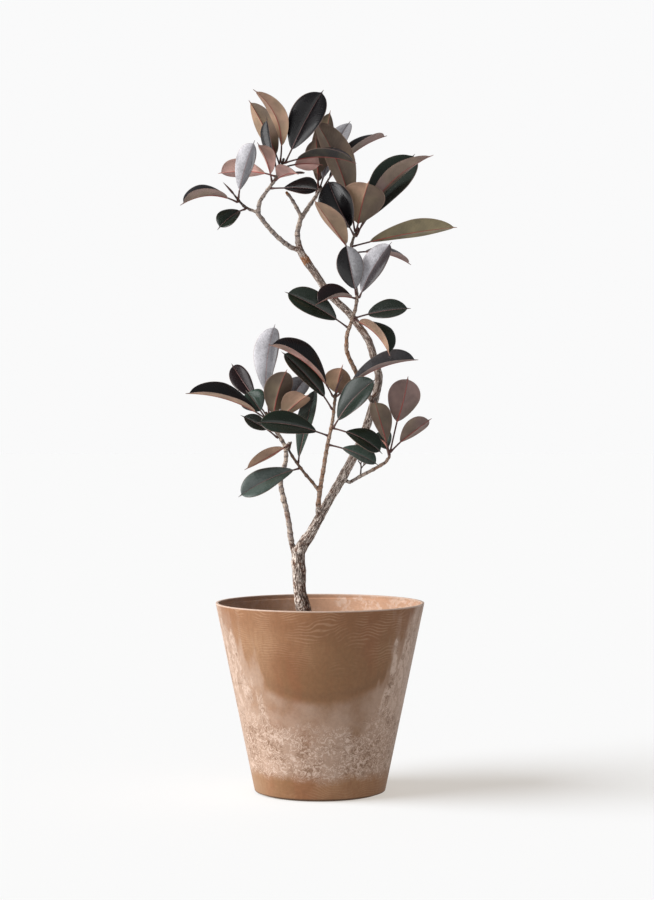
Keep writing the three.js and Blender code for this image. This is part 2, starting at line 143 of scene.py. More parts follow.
lip_bottom = POT_TOP - POT_LIP
lip_inside = pot_radius(lip_bottom) - POT_WALL + POT_LEDGE
wall_rings = [
    (pot_radius(height), height)
    for height in np.linspace(POT_FOOT_RISE, POT_TOP, POT_WALL_RINGS)
]
pot_profile = [
    (POT_BASE - POT_FOOT_INSET, 0),
    (POT_BASE - POT_FOOT_INSET, POT_FOOT_RISE),
    *wall_rings,
    (lip_inside, POT_TOP),
    (lip_inside, lip_bottom),
    (pot_radius(lip_bottom) - POT_WALL, lip_bottom),
    (pot_radius(POT_FLOOR) - POT_WALL, POT_FLOOR),
]
pot = turn_pot("moulded_pot", pot_profile, POT_SIDES)
use_modifier(pot, "BEVEL", width=POT_EDGE_ROUND, segments=3, limit_method="ANGLE", angle_limit=0.6)


def add_node(tree, kind, inputs=None, **settings):
    """Adds a shader node; an input is a value, or another node's output."""
    made = tree.nodes.new(kind)
    for setting, value in settings.items():
        setattr(made, setting, value)
    for socket, value in (inputs or {}).items():
        if isinstance(value, bpy.types.NodeSocket):
            tree.links.new(value, made.inputs[socket])
        else:
            made.inputs[socket].default_value = value
    return made


def maths(tree, operation, first, second=0.5, third=0.5):
    """One step of arithmetic on values that change over the surface."""
    inputs = {0: first, 1: second, 2: third}
    return add_node(tree, "ShaderNodeMath", inputs, operation=operation).outputs[0]


def times(tree, first, second):
    return maths(tree, "MULTIPLY", first, second)


def off(tree, value, middle):
    """How far a value is from a middle one, either way."""
    return maths(tree, "ABSOLUTE", maths(tree, "SUBTRACT", value, middle))


def mottle(tree, vector, scale, detail, **inputs):
    """A soft uneven cloudiness, finer where the scale is higher."""
    inputs = {"Vector": vector, "Scale": scale, "Detail": detail, **inputs}
    return add_node(tree, "ShaderNodeTexNoise", inputs).outputs["Fac"]


def stretch(tree, vector, scale):
    """Draws a pattern out along an axis where its scale is under 1."""
    return add_node(tree, "ShaderNodeMapping", {"Vector": vector, "Scale": scale}).outputs[0]


def between(tree, value, low, high, to_low=0.0, to_high=1.0):
    """A soft step of a value from low to high."""
    made = add_node(
        tree,
        "ShaderNodeMapRange",
        {"Value": value, "From Min": low, "From Max": high, "To Min": to_low, "To Max": to_high},
        interpolation_type="SMOOTHSTEP",
    )
    return made.outputs["Result"]


def blend_colours(tree, share, first, second, blend="MIX"):
    """Lays a share of the second colour over the first."""
    made = add_node(tree, "ShaderNodeMix", data_type="RGBA", blend_type=blend)
    for socket, value in ((0, share), (6, first), (7, second)):
        if isinstance(value, bpy.types.NodeSocket):
            tree.links.new(value, made.inputs[socket])
        elif socket == 0:
            made.inputs[socket].default_value = value
        else:
            made.inputs[socket].default_value = (*value[:3], 1)
    return made.outputs[2]


def shade_by(tree, colour, shade):
    """Makes a colour darker or lighter where the shade is under or over 1."""
    grey = add_node(tree, "ShaderNodeCombineColor", {0: shade, 1: shade, 2: shade})
    return blend_colours(tree, 1.0, colour, grey.outputs[0], "MULTIPLY")


def raise_surface(tree, surface, height, strength, distance):
    """Gives a material its fine relief."""
    relief = {"Height": height, "Strength": strength, "Distance": distance}
    bump = add_node(tree, "ShaderNodeBump", relief)
    tree.links.new(bump.outputs[0], surface.inputs["Normal"])


def new_material(name, colour, roughness):
    """A new finish, and its node tree and surface shader."""
    material = bpy.data.materials.new(name)
    material.use_nodes = True
    material.diffuse_color = (*colour, 1)
    surface = material.node_tree.nodes["Principled BSDF"]
    surface.inputs["Roughness"].default_value = roughness
    return material, material.node_tree, surface


def make_grit():
    """Fine grit: a mask of small pale and dark grains, and their height."""
    group = bpy.data.node_groups.new("grit", "ShaderNodeTree")
    group.interface.new_socket("Vector", in_out="INPUT", socket_type="NodeSocketVector")
    grains = group.interface.new_socket("Grains", in_out="INPUT", socket_type="NodeSocketFloat")
    grains.default_value = 600
    group.interface.new_socket("Tone", in_out="OUTPUT", socket_type="NodeSocketFloat")
    group.interface.new_socket("Height", in_out="OUTPUT", socket_type="NodeSocketFloat")
    entry = add_node(group, "NodeGroupInput")
    leave = add_node(group, "NodeGroupOutput")
    fine = add_node(
        group,
        "ShaderNodeTexNoise",
        {"Vector": entry.outputs["Vector"], "Scale": entry.outputs["Grains"], "Detail": 3.0},
    )
    coarse_scale = times(group, entry.outputs["Grains"], 0.21)
    coarse = add_node(
        group,
        "ShaderNodeTexNoise",
        {"Vector": entry.outputs["Vector"], "Scale": coarse_scale, "Detail": 2.0},
    )
    tone = maths(group, "ADD", fine.outputs["Fac"], coarse.outputs["Fac"])
    group.links.new(times(group, tone, 0.5), leave.inputs["Tone"])
    group.links.new(fine.outputs["Fac"], leave.inputs["Height"])
    return group


grit = make_grit()


def add_grit(tree, vector, grains):
    """Puts the fine grit in a material, with so many grains to the metre."""
    made = add_node(tree, "ShaderNodeGroup", node_tree=grit)
    tree.links.new(vector, made.inputs["Vector"])
    made.inputs["Grains"].default_value = grains
    return made


CLAY_BROWN = (0.260, 0.122, 0.056)
CLAY_RED = (0.232, 0.097, 0.043)
CLAY_OLIVE = (0.215, 0.113, 0.051)
CLAY_TAN = (0.345, 0.183, 0.093)
LIT_FLANK_PALE = (0.370, 0.225, 0.130)
INNER_WALL = (0.560, 0.335, 0.225)
MILKY_SWIRL = (0.660, 0.510, 0.425)
ARC_PALE = (0.470, 0.290, 0.180)
MILKY_VEIL = (0.415, 0.288, 0.218)
SHADOWED_FOOT = (0.060, 0.032, 0.018)
SWIRL_GAP = (0.170, 0.088, 0.046)

# the pour's heights: the plain foot band, and the tide line and its climb at the flanks
BAND_LOW, BAND_HIGH = 0.026, 0.044
TIDE_FRONT, TIDE_BOWL, TIDE_CLIMB = 0.110, 0.055, 0.150
TIDE_MARK_OVER, TIDE_MARK_HEIGHT = 0.056, 0.012
# how finely the arcs, curls and tongues are drawn, and how far the curls are pushed about
ARC_WAVES = 1300.0
CURL_WAVES = 36.0
CURL_SCALE = 62.0
CURL_PUSH = 0.026
TONGUE_SCALE = 95.0

stone, tree, surface = new_material("moulded_stone", CLAY_BROWN, 0.62)
place = add_node(tree, "ShaderNodeTexCoord").outputs["Object"]
split = add_node(tree, "ShaderNodeSeparateXYZ", {0: place})
across, depth, height = split.outputs

# the way round the pot: 0 at the front, growing to 1 at the flanks and back to 0 behind
from_axis = maths(tree, "ADD", times(tree, across, across), times(tree, depth, depth))
from_axis = maths(tree, "SQRT", from_axis)
flank = maths(tree, "DIVIDE", maths(tree, "ABSOLUTE", across), from_axis)
bowl = times(tree, flank, flank)

# smooth body: slow upright zones of redder, greener and paler brown
upright = stretch(tree, place, (1.0, 1.0, 0.10))
zones = mottle(tree, upright, 22.0, 2.5)
body = blend_colours(tree, between(tree, zones, 0.40, 0.56), CLAY_RED, CLAY_OLIVE)
patches = mottle(tree, place, 7.0, 2.0)
body = blend_colours(tree, between(tree, patches, 0.45, 0.7), body, CLAY_TAN)
body = blend_colours(tree, 0.35, body, CLAY_BROWN)
# painted light: the flank to the left, where the light falls, is painted paler
body = blend_colours(tree, between(tree, across, -0.050, -0.100, 0.0, 0.55), body, LIT_FLANK_PALE)

# fine upright streaks from the mould, and a darker, redder zone under the rim
streak_place = stretch(tree, place, (1.0, 1.0, 0.045))
streaks = mottle(tree, streak_place, 260.0, 3.0)
body = blend_colours(tree, between(tree, streaks, 0.40, 0.70, 0.0, 0.30), body, CLAY_RED)
under_rim = between(tree, height, 0.235, 0.285, 0.0, 0.55)
body = blend_colours(tree, under_rim, body, CLAY_RED)

# arcs left by the pouring, faint near the rim and in the plain band at the foot
warp = mottle(tree, place, 6.5, 3.0)
arc_height = maths(tree, "MULTIPLY_ADD", warp, 0.12, height)
arc_turns = maths(tree, "SINE", times(tree, arc_height, ARC_WAVES))
arc_lines = between(tree, arc_turns, -0.1, 0.95)
near_rim = between(tree, height, 0.185, 0.255)
near_foot = between(tree, height, 0.050, 0.030)
arc_share = maths(tree, "MAXIMUM", near_rim, times(tree, near_foot, 0.5))
arc_patch = mottle(tree, place, 31.0, 3.0)
arc_share = times(tree, arc_share, between(tree, arc_patch, 0.38, 0.62))
arc_share = times(tree, times(tree, arc_lines, arc_share), 0.36)
body = blend_colours(tree, arc_share, body, ARC_PALE)

# the swirls reach from over the foot band up to a tide line that climbs at the flanks
wander = mottle(tree, place, 30.0, 4.0)
wander_height = maths(tree, "MULTIPLY_ADD", wander, 0.10, -0.050)
flank_warp = mottle(tree, upright, 38.0, 4.0)
flank = maths(tree, "SUBTRACT", flank, 0.35)
flank = maths(tree, "MULTIPLY_ADD", flank_warp, 0.70, flank)
on_flank = between(tree, flank, 0.55, 1.00)
tide = maths(tree, "MULTIPLY_ADD", bowl, TIDE_BOWL, TIDE_FRONT)
tide = maths(tree, "MULTIPLY_ADD", on_flank, TIDE_CLIMB, tide)
under_tide = maths(tree, "SUBTRACT", tide, height)
ragged = maths(tree, "ADD", under_tide, wander_height)
reach = between(tree, ragged, -0.012, 0.026)
band_height = maths(tree, "MULTIPLY_ADD", wander_height, 0.30, height)
over_band = between(tree, band_height, BAND_LOW, BAND_HIGH)
reach = times(tree, reach, over_band)

# the swirls themselves: small curls, drawn up into long tongues on the flanks
curl_push = add_node(tree, "ShaderNodeTexNoise", {"Vector": place, "Scale": 85.0, "Detail": 2.0})
push = add_node(
    tree,
    "ShaderNodeVectorMath",
    {0: curl_push.outputs["Color"], 1: (0.5, 0.5, 0.5)},
    operation="SUBTRACT",
)
push = add_node(
    tree, "ShaderNodeVectorMath", {0: push.outputs[0], "Scale": CURL_PUSH}, operation="SCALE"
)
curled = add_node(
    tree, "ShaderNodeVectorMath", {0: place, 1: push.outputs[0]}, operation="ADD"
).outputs[0]
curl_place = stretch(tree, curled, (1.0, 1.0, 1.5))
curls = mottle(tree, curl_place, CURL_SCALE, 1.5, Roughness=0.45, Distortion=0.8)
curl_turns = maths(tree, "SINE", times(tree, curls, CURL_WAVES))
curl_lines = between(tree, curl_turns, 0.30, 1.0)
tongue_place = stretch(tree, curled, (1.0, 1.0, 0.22))
tongues = mottle(tree, tongue_place, TONGUE_SCALE, 4.0, Distortion=0.8)
tongue_lines = between(tree, tongues, 0.42, 0.66)
drawn_up = between(tree, height, 0.105, 0.170)
swirl = add_node(tree, "ShaderNodeMix", {0: drawn_up, 2: curl_lines, 3: tongue_lines}).outputs[0]

# a smooth milky veil lies under the swirls and ends in a tide line a little over them
clouds = mottle(tree, place, 26.0, 4.0)
veil_edge = maths(tree, "MULTIPLY_ADD", times(tree, wander_height, on_flank), 1.6, under_tide)
soft_edge = maths(tree, "MULTIPLY_ADD", on_flank, 0.075, -0.035)
veil_reach = between(tree, veil_edge, -0.052, soft_edge)
veil_reach = times(tree, veil_reach, over_band)
veil_share = between(tree, clouds, 0.30, 0.66, 0.30, 0.75)
veil_share = maths(tree, "MAXIMUM", veil_share, times(tree, reach, 0.85))
veil_share = times(tree, veil_share, veil_reach)
tide_mark = between(tree, off(tree, under_tide, -TIDE_MARK_OVER), TIDE_MARK_HEIGHT, 0.0)
tide_mark = times(tree, tide_mark, between(tree, on_flank, 0.35, 0.0, 0.0, 0.30))
colour = blend_colours(tree, tide_mark, body, SWIRL_GAP)
colour = blend_colours(tree, veil_share, colour, MILKY_VEIL)
gap_share = between(tree, curl_turns, -0.40, -1.0)
gap_share = times(tree, gap_share, between(tree, clouds, 0.60, 0.42))
gap_share = times(tree, times(tree, gap_share, reach), 0.70)
colour = blend_colours(tree, gap_share, colour, SWIRL_GAP)
swirl_share = times(tree, times(tree, swirl, reach), 0.62)
colour = blend_colours(tree, swirl_share, colour, MILKY_SWIRL)

# the bare inner wall is a shade paler
outer_radius = maths(tree, "MULTIPLY_ADD", height, (POT_RIM - POT_BASE) / POT_TOP, POT_BASE)
inside = between(tree, maths(tree, "SUBTRACT", outer_radius, from_axis), 0.0025, 0.0035)
colour = blend_colours(tree, times(tree, inside, 0.80), colour, INNER_WALL)
inner_milk = between(tree, curls, 0.42, 0.62, 0.0, 0.8)
inner_milk = times(tree, inner_milk, between(tree, clouds, 0.40, 0.56))
inner_milk = times(tree, inner_milk, between(tree, across, -0.02, 0.05, 0.25, 0.75))
colour = blend_colours(tree, times(tree, inner_milk, inside), colour, MILKY_SWIRL)

# a painted highlight along the rim's edge, and a painted contact shadow where the wall meets the foot
painted_rim_highlight = between(tree, height, POT_TOP - 0.0026, POT_TOP - 0.0008)
colour = blend_colours(tree, times(tree, painted_rim_highlight, 0.75), colour, MILKY_SWIRL)
# the dark band at the foot is painted contact shadow
painted_foot_shadow = between(tree, height, 0.0055, 0.0030)
colour = blend_colours(tree, times(tree, painted_foot_shadow, 0.85), colour, SHADOWED_FOOT)
pot_grit = add_grit(tree, place, 900.0)
grain_tone = between(tree, pot_grit.outputs["Tone"], 0.35, 0.65, 0.93, 1.07)
colour = shade_by(tree, colour, grain_tone)
tree.links.new(colour, surface.inputs["Base Color"])
dullness = between(tree, swirl_share, 0.0, 0.6, 0.52, 0.74)
tree.links.new(dullness, surface.inputs["Roughness"])
pot_height = maths(tree, "MULTIPLY_ADD", swirl_share, 0.6, pot_grit.outputs["Height"])
raise_surface(tree, surface, pot_height, strength=0.10, distance=0.0008)
surface.inputs["Specular IOR Level"].default_value = 0.25

pot.data.materials.clear()
pot.data.materials.append(stone)
pick(pot)
bpy.ops.object.shade_smooth_by_angle(angle=math.radians(35))
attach(pot, "root")
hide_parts("planter")


# ---- Potting soil ----
# A crumbly dark mix of bark fines, peat and a little grit. It fills the pot to a few
# centimetres under the rim, heaped slightly round the stem and sunk where it meets the wall.

soil_low, soil_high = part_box("potting_soil")
SOIL_GAP = 0.0004
SOIL_CROWN = 0.006
SOIL_EDGE = soil_high.z - SOIL_CROWN
SOIL_SIDES = 96
SOIL_RINGS = 22
LUMP_HEIGHT = 0.0016
CLOD_HEIGHT = 0.0018
SOIL_OVER = 0.003

edge_radius = pot_radius(SOIL_EDGE) - POT_WALL - SOIL_GAP
soil_profile = [
    (pot_radius(soil_low.z) - POT_WALL - SOIL_GAP, soil_low.z),
    (edge_radius, SOIL_EDGE),
]
for step in range(1, SOIL_RINGS):
    share = 1 - step / SOIL_RINGS
    soil_profile.append((edge_radius * share, soil_high.z - SOIL_CROWN * share**2))
soil = turn_pot("crumbly_soil", soil_profile, SOIL_SIDES)
for vertex in soil.data.vertices:
    from_middle = vertex.co.xy.length
    if vertex.co.z > SOIL_EDGE - 0.001 and from_middle < edge_radius - 0.001:
        lump = noise.fractal(vertex.co * 70, 0.9, 2.1, 4)
        clod = noise.noise(vertex.co * 24)
        heaped = vertex.co.z + LUMP_HEIGHT * lump + CLOD_HEIGHT * clod
        vertex.co.z = min(heaped, soil_high.z + SOIL_OVER)

SOIL_DARK = (0.022, 0.014, 0.009)
SOIL_BROWN = (0.075, 0.044, 0.026)
SOIL_CHIP = (0.150, 0.095, 0.060)
earth, tree, surface = new_material("potting_mix", SOIL_BROWN, 0.95)
place = add_node(tree, "ShaderNodeTexCoord").outputs["Object"]
crumbs = add_node(tree, "ShaderNodeTexVoronoi", {"Vector": place, "Scale": 260.0})
crumb_tone = add_node(tree, "ShaderNodeSeparateColor", {0: crumbs.outputs["Color"]}).outputs[0]
colour = blend_colours(tree, crumb_tone, SOIL_DARK, SOIL_BROWN)
colour = blend_colours(tree, between(tree, crumb_tone, 0.86, 0.95), colour, SOIL_CHIP)
soil_grit = add_grit(tree, place, 420.0)
colour = blend_colours(tree, between(tree, soil_grit.outputs["Tone"], 0.42, 0.62), SOIL_DARK, colour)
tree.links.new(colour, surface.inputs["Base Color"])
crumb_height = maths(tree, "MULTIPLY_ADD", crumbs.outputs["Distance"], -1.2, soil_grit.outputs["Height"])
raise_surface(tree, surface, crumb_height, strength=0.8, distance=0.003)
soil.data.materials.append(earth)
soil.data.shade_smooth()
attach(soil, "root")
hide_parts("potting_soil")

# loose chips of bark and small crumbs lie on top of the mix
CHIP_COUNT = 420
CHIP_LENGTH = (0.0012, 0.0052)
CHIP_FROM_STEM = 0.019
CHIP_FROM_WALL = 0.005
STEM_FOOT = (-0.022, 0.0)  # where the stem comes out of the soil
soil_points = np.array([vertex.co[:] for vertex in soil.data.vertices])
soil_points = soil_points[soil_points[:, 2] > SOIL_EDGE - 0.001]
bpy.ops.object.select_all(action="DESELECT")
bpy.ops.mesh.primitive_ico_sphere_add(subdivisions=1, radius=1.0)
chips = bpy.context.object
chips.name = "bark_chips"
chip_points = np.array([vertex.co[:] for vertex in chips.data.vertices])
chip_faces = np.array([face.vertices[:] for face in chips.data.polygons])
dice = np.random.default_rng(11)
scattered = []
while len(scattered) < CHIP_COUNT:
    spot = dice.uniform(-edge_radius, edge_radius, 2)
    in_pot = np.linalg.norm(spot) < edge_radius - CHIP_FROM_WALL
    if not in_pot or np.linalg.norm(spot - STEM_FOOT) < CHIP_FROM_STEM:
        continue
    ground = soil_points[np.linalg.norm(soil_points[:, :2] - spot, axis=1).argmin(), 2]
    length = CHIP_LENGTH[0] + (CHIP_LENGTH[1] - CHIP_LENGTH[0]) * dice.random() ** 2.5
    rough = chip_points * dice.uniform(0.75, 1.15, chip_points.shape)
    width, thickness = length * dice.uniform(0.2, 0.4), length * dice.uniform(0.1, 0.25)
    flat = rough * (length / 2, width, thickness)
    spin, tilt = dice.uniform(0, 2 * math.pi), dice.uniform(-0.35, 0.35)
    tipped = flat[:, 2] * math.cos(tilt) + flat[:, 0] * math.sin(tilt)
    scattered.append(np.stack([
        spot[0] + flat[:, 0] * math.cos(spin) - flat[:, 1] * math.sin(spin),
        spot[1] + flat[:, 0] * math.sin(spin) + flat[:, 1] * math.cos(spin),
        ground + tipped + length * 0.08,
    ], 1))
faces = [chip_faces + len(chip_points) * number for number in range(CHIP_COUNT)]
chips.data.clear_geometry()
chips.data.from_pydata(np.concatenate(scattered).tolist(), [], np.concatenate(faces).tolist())
chips.data.update()

CHIP_TAN = (0.230, 0.150, 0.095)
chip_bark, tree, surface = new_material("chipped_bark", SOIL_CHIP, 0.9)
place = add_node(tree, "ShaderNodeTexCoord").outputs["Object"]
chip_tone = mottle(tree, place, 150.0, 1.0)
colour = blend_colours(tree, between(tree, chip_tone, 0.40, 0.55), SOIL_DARK, SOIL_BROWN)
colour = blend_colours(tree, between(tree, chip_tone, 0.56, 0.68), colour, CHIP_TAN)
chip_grit = add_grit(tree, place, 2200.0)
worn = between(tree, chip_grit.outputs["Tone"], 0.55, 0.70, 0.0, 0.5)
colour = blend_colours(tree, worn, colour, SOIL_CHIP)
tree.links.new(colour, surface.inputs["Base Color"])
raise_surface(tree, surface, chip_grit.outputs["Height"], strength=0.6, distance=0.0006)
chips.data.materials.clear()
chips.data.materials.append(chip_bark)
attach(chips, "root")
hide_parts("potting_soil")


# ---- Woody stem ----
# One living stem, bent and pruned over some years. Old wood is grey-brown and cracked
# lengthwise, younger wood is smooth and beige with dark rings where leaves have dropped,
# and the newest shoots are still brown and green. It stands rooted in the soil.

WOOD_GRAIN = 0.00105
THICKEST, THINNEST = 0.016, 0.001
OLD_FROM_GIRTH = 0.0045
SCAR_SPACING = 0.014
RING_SPACING = 0.0105
RIDGE_WAVES = 25.0
# how far the scars, knuckles, plates of bark and lumps stand out
SKIN_RISE, SCAR_RISE, KNUCKLE_RISE = 0.00014, 0.00025, 0.00065
PLATE_RISE, LUMP_RISE = 0.00075, 0.0007
stem_low, stem_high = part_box("woody_stem")
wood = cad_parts["woody_stem"].copy()
wood.data = wood.data.copy()
wood.name = "living_wood"
wood.parent = None
for key in list(wood.keys()):
    del wood[key]
bpy.context.scene.collection.objects.link(wood)
pick(wood)
bpy.ops.object.mode_set(mode="EDIT")
bpy.ops.mesh.select_all(action="SELECT")
bpy.ops.mesh.remove_doubles(threshold=1e-6)
bpy.ops.object.mode_set(mode="OBJECT")
use_modifier(wood, "REMESH", mode="VOXEL", voxel_size=WOOD_GRAIN, adaptivity=0.0)
use_modifier(wood, "SMOOTH", factor=0.5, iterations=7)

wood_points = np.empty(len(wood.data.vertices) * 3)
wood.data.vertices.foreach_get("co", wood_points)
wood_points = wood_points.reshape(-1, 3)
wood_edges = np.empty(len(wood.data.edges) * 2, np.int64)
wood.data.edges.foreach_get("vertices", wood_edges)
wood_edges = wood_edges.reshape(-1, 2)
neighbours = [[] for _ in range(len(wood_points))]
spans = np.linalg.norm(wood_points[wood_edges[:, 0]] - wood_points[wood_edges[:, 1]], axis=1)
for (first, second), span in zip(wood_edges.tolist(), spans.tolist()):
    neighbours[first].append((second, span))
    neighbours[second].append((first, span))

# how far each point has grown from the root, measured along the wood
grown = np.full(len(wood_points), np.inf)
queue = []
for root in np.where(wood_points[:, 2] < wood_points[:, 2].min() + 0.0015)[0].tolist():
    grown[root] = 0
    heapq.heappush(queue, (0.0, root))
while queue:
    so_far, point = heapq.heappop(queue)
    if so_far > grown[point]:
        continue
    for other, span in neighbours[point]:
        if so_far + span < grown[other]:
            grown[other] = so_far + span
            heapq.heappush(queue, (so_far + span, other))
grown[~np.isfinite(grown)] = 0

# the wood is cut in thin slices of equal growth, and each slice gives its own pith and girth
SLICE = 0.003
slices = np.floor(grown / SLICE).astype(int)
slice_of = np.full(len(wood_points), -1)
pith = []
girth = []
for start in range(len(wood_points)):
    if slice_of[start] >= 0:
        continue
    slice_of[start] = len(pith)
    members = [start]
    for point in members:
        for other, _ in neighbours[point]:
            if slice_of[other] < 0 and slices[other] == slices[point]:
                slice_of[other] = len(pith)
                members.append(other)
    ring = wood_points[members]
    pith.append(ring.mean(axis=0))
    girth.append(np.linalg.norm(ring - ring.mean(axis=0), axis=1).mean())
pith = np.array(pith)[slice_of]
girth = np.array(girth)[slice_of]


def evened(values, rounds):
    """Averages values over the wood's surface, a few steps each way."""
    first, second = wood_edges.T
    count = np.ones(len(values))
    np.add.at(count, first, 1)
    np.add.at(count, second, 1)
    for _ in range(rounds):
        total = values.copy()
        np.add.at(total, first, values[second])
        np.add.at(total, second, values[first])
        values = total / (count if values.ndim == 1 else count[:, None])
    return values


girth = np.clip(evened(girth, 12), THINNEST, THICKEST)
pith = evened(pith, 10)
spoke = wood_points - pith
spoke /= np.maximum(np.linalg.norm(spoke, axis=1), 1e-6)[:, None]
spoke = evened(spoke, 3)
spoke /= np.maximum(np.linalg.norm(spoke, axis=1), 1e-6)[:, None]

# swollen leaf scars on the young wood, and cracked plates of bark on the old
wood_normals = np.empty(len(wood_points) * 3)
wood.data.vertices.foreach_get("normal", wood_normals)
wood_normals = wood_normals.reshape(-1, 3)
old = np.clip((girth - OLD_FROM_GIRTH) / 0.003, 0, 1)
raised = np.zeros(len(wood_points))

# knobs where a side shoot was rubbed off: place, breadth and height
KNOBS = [
    ((-0.0600, 0.006, 0.458), 0.0040, 0.0022), ((-0.0510, 0.002, 0.402), 0.0030, 0.0010),
    ((-0.0590, 0.010, 0.432), 0.0030, 0.0011), ((-0.0010, -0.017, 0.474), 0.0035, 0.0016),
    ((0.0080, -0.024, 0.509), 0.0032, 0.0013), ((-0.0060, -0.013, 0.452), 0.0030, 0.0012),
    ((0.0440, -0.031, 0.700), 0.0032, 0.0012), ((0.0390, -0.032, 0.724), 0.0030, 0.0012),
    ((0.0100, -0.006, 0.452), 0.0055, 0.0018), ((-0.0260, 0.000, 0.402), 0.0060, 0.0020),
    ((0.0980, 0.004, 0.517), 0.0030, 0.0011), ((0.0700, 0.002, 0.497), 0.0030, 0.0010),
    ((-0.0900, -0.016, 0.903), 0.0032, 0.0014), ((-0.0990, -0.018, 0.914), 0.0034, 0.0018),
    ((-0.0180, 0.000, 0.843), 0.0050, 0.0014), ((0.0640, 0.006, 0.739), 0.0045, 0.0014),
]
for knob_place, breadth, knob_height in KNOBS:
    away = np.linalg.norm(wood_points - np.array(knob_place), axis=1)
    raised += knob_height * np.exp(-((away / breadth) ** 2))
for point in range(len(wood_points)):
    way = Vector(spoke[point])
    length = grown[point]
    node_place = length / SCAR_SPACING + 0.35 * noise.noise(Vector((length * 30, 0, 7)))
    scar = math.exp(-(((node_place % 1.0) - 0.5) / 0.16) ** 2)
    knuckle = 0.5 + noise.noise(way * 1.1 + Vector((0, 0, math.floor(node_place) * 3.7)))
    crack = noise.noise(way * 5.5 + Vector((0, 0, length * 95)))
    lumps = noise.noise(Vector(wood_points[point]) * 85)
    young_share = 1 - old[point]
    raised[point] += (
        SKIN_RISE
        + young_share * scar * (SCAR_RISE + KNUCKLE_RISE * max(knuckle, 0))
        + old[point] * (PLATE_RISE * (abs(crack) ** 0.7 - 0.35) + LUMP_RISE * lumps)
    )
wood_points += wood_normals * raised[:, None]
wood_points[:, 2] = np.clip(wood_points[:, 2], stem_low.z, stem_high.z + 0.001)
wood.data.vertices.foreach_set("co", wood_points.ravel())
for name, values in (("grown", grown), ("girth", girth)):
    layer = wood.data.attributes.new(name, "FLOAT", "POINT")
    layer.data.foreach_set("value", values.astype(np.float32))
layer = wood.data.attributes.new("spoke", "FLOAT_VECTOR", "POINT")
layer.data.foreach_set("vector", spoke.astype(np.float32).ravel())
wood.data.update()

RIDGE_HIGHLIGHT_PALE = (0.900, 0.790, 0.710)
BARK_GREY = (0.310, 0.235, 0.195)
BARK_BROWN = (0.270, 0.145, 0.098)
DARK_BARK_AND_CRACK_SHADE = (0.042, 0.020, 0.015)
BARK_BEIGE = (0.580, 0.470, 0.395)
BARK_LILAC = (0.370, 0.305, 0.285)
BARK_WARM = (0.380, 0.185, 0.095)
SHOOT_BROWN = (0.120, 0.062, 0.036)
SHOOT_ORANGE = (0.330, 0.130, 0.045)
SCAR_DARK = (0.045, 0.026, 0.020)
bark, tree, surface = new_material("bark", BARK_GREY, 0.82)
place = add_node(tree, "ShaderNodeTexCoord").outputs["Object"]
grown_at = add_node(tree, "ShaderNodeAttribute", attribute_name="grown").outputs["Fac"]
girth_at = add_node(tree, "ShaderNodeAttribute", attribute_name="girth").outputs["Fac"]
spoke_at = add_node(tree, "ShaderNodeAttribute", attribute_name="spoke").outputs["Vector"]

# lengthwise cracks: fine round the stem, drawn out along it
long_cracks = add_node(
    tree,
    "ShaderNodeTexNoise",
    {
        "Vector": spoke_at,
        "W": times(tree, grown_at, 20.0),
        "Scale": 3.4,
        "Detail": 3.0,
        "Roughness": 0.50,
        "Distortion": 0.9,
    },
    noise_dimensions="4D",
)
plate_tint = mottle(tree, place, 60.0, 3.0)
plates = between(tree, plate_tint, 0.42, 0.60)
old_wood = blend_colours(tree, plates, BARK_GREY, BARK_BROWN)
ridge_turns = maths(tree, "SINE", times(tree, long_cracks.outputs["Fac"], RIDGE_WAVES))
# painted light: the furrows between the lengthwise ridges are painted dark as painted shade, and the
# ridge tops pale as painted highlights
furrow_shade = between(tree, ridge_turns, -0.45, -1.0, 0.0, 0.9)
ridge_highlights = between(tree, ridge_turns, 0.10, 0.85)
old_wood = blend_colours(tree, furrow_shade, old_wood, DARK_BARK_AND_CRACK_SHADE)
old_wood = blend_colours(tree, ridge_highlights, old_wood, RIDGE_HIGHLIGHT_PALE)
fine_cracks = add_node(
    tree,
    "ShaderNodeTexNoise",
    {
        "Vector": spoke_at,
        "W": times(tree, grown_at, 60.0),
        "Scale": 13.0,
        "Detail": 3.0,
        "Distortion": 0.6,
    },
    noise_dimensions="4D",
)
# the fine splits are painted dark: painted shade in the cracks
crack_shade = between(tree, fine_cracks.outputs["Fac"], 0.43, 0.36, 0.0, 0.8)
old_wood = blend_colours(tree, crack_shade, old_wood, DARK_BARK_AND_CRACK_SHADE)

# younger wood: beige, blotched, ringed with dark scars
blotches = mottle(tree, place, 130.0, 4.0)
beige_share = between(tree, blotches, 0.38, 0.56)
young_wood = blend_colours(tree, beige_share, BARK_LILAC, BARK_BEIGE)

# the warm brown front of the middle shoots, and the tip of the low branch
warm_split = add_node(tree, "ShaderNodeSeparateXYZ", {0: place})
warm = between(tree, warm_split.outputs[1], -0.002, -0.012)
warm = times(tree, warm, between(tree, warm_split.outputs[2], 0.82, 0.70))
warm_tip = between(tree, warm_split.outputs[0], 0.070, 0.095)
warm_tip = times(tree, warm_tip, between(tree, warm_split.outputs[2], 0.570, 0.555))
warm = maths(tree, "MAXIMUM", warm, warm_tip)
warm = times(tree, warm, between(tree, blotches, 0.38, 0.60, 0.95, 0.45))
young_wood = blend_colours(tree, warm, young_wood, BARK_WARM)
ring_wobble = mottle(tree, place, 60.0, 2.0)
ring_stretch = mottle(tree, place, 14.0, 0.0)
ring_place = maths(tree, "MULTIPLY_ADD", ring_wobble, 0.007, grown_at)
ring_place = maths(tree, "MULTIPLY_ADD", ring_stretch, 0.060, ring_place)
ring_turns = maths(tree, "FRACT", maths(tree, "DIVIDE", ring_place, RING_SPACING))
ring_line = between(tree, off(tree, ring_turns, 0.5), 0.16, 0.03)
ring_patch = between(tree, long_cracks.outputs["Fac"], 0.38, 0.55)
ring_line = times(tree, times(tree, ring_line, ring_patch), 0.85)
young_wood = blend_colours(tree, ring_line, young_wood, SCAR_DARK)

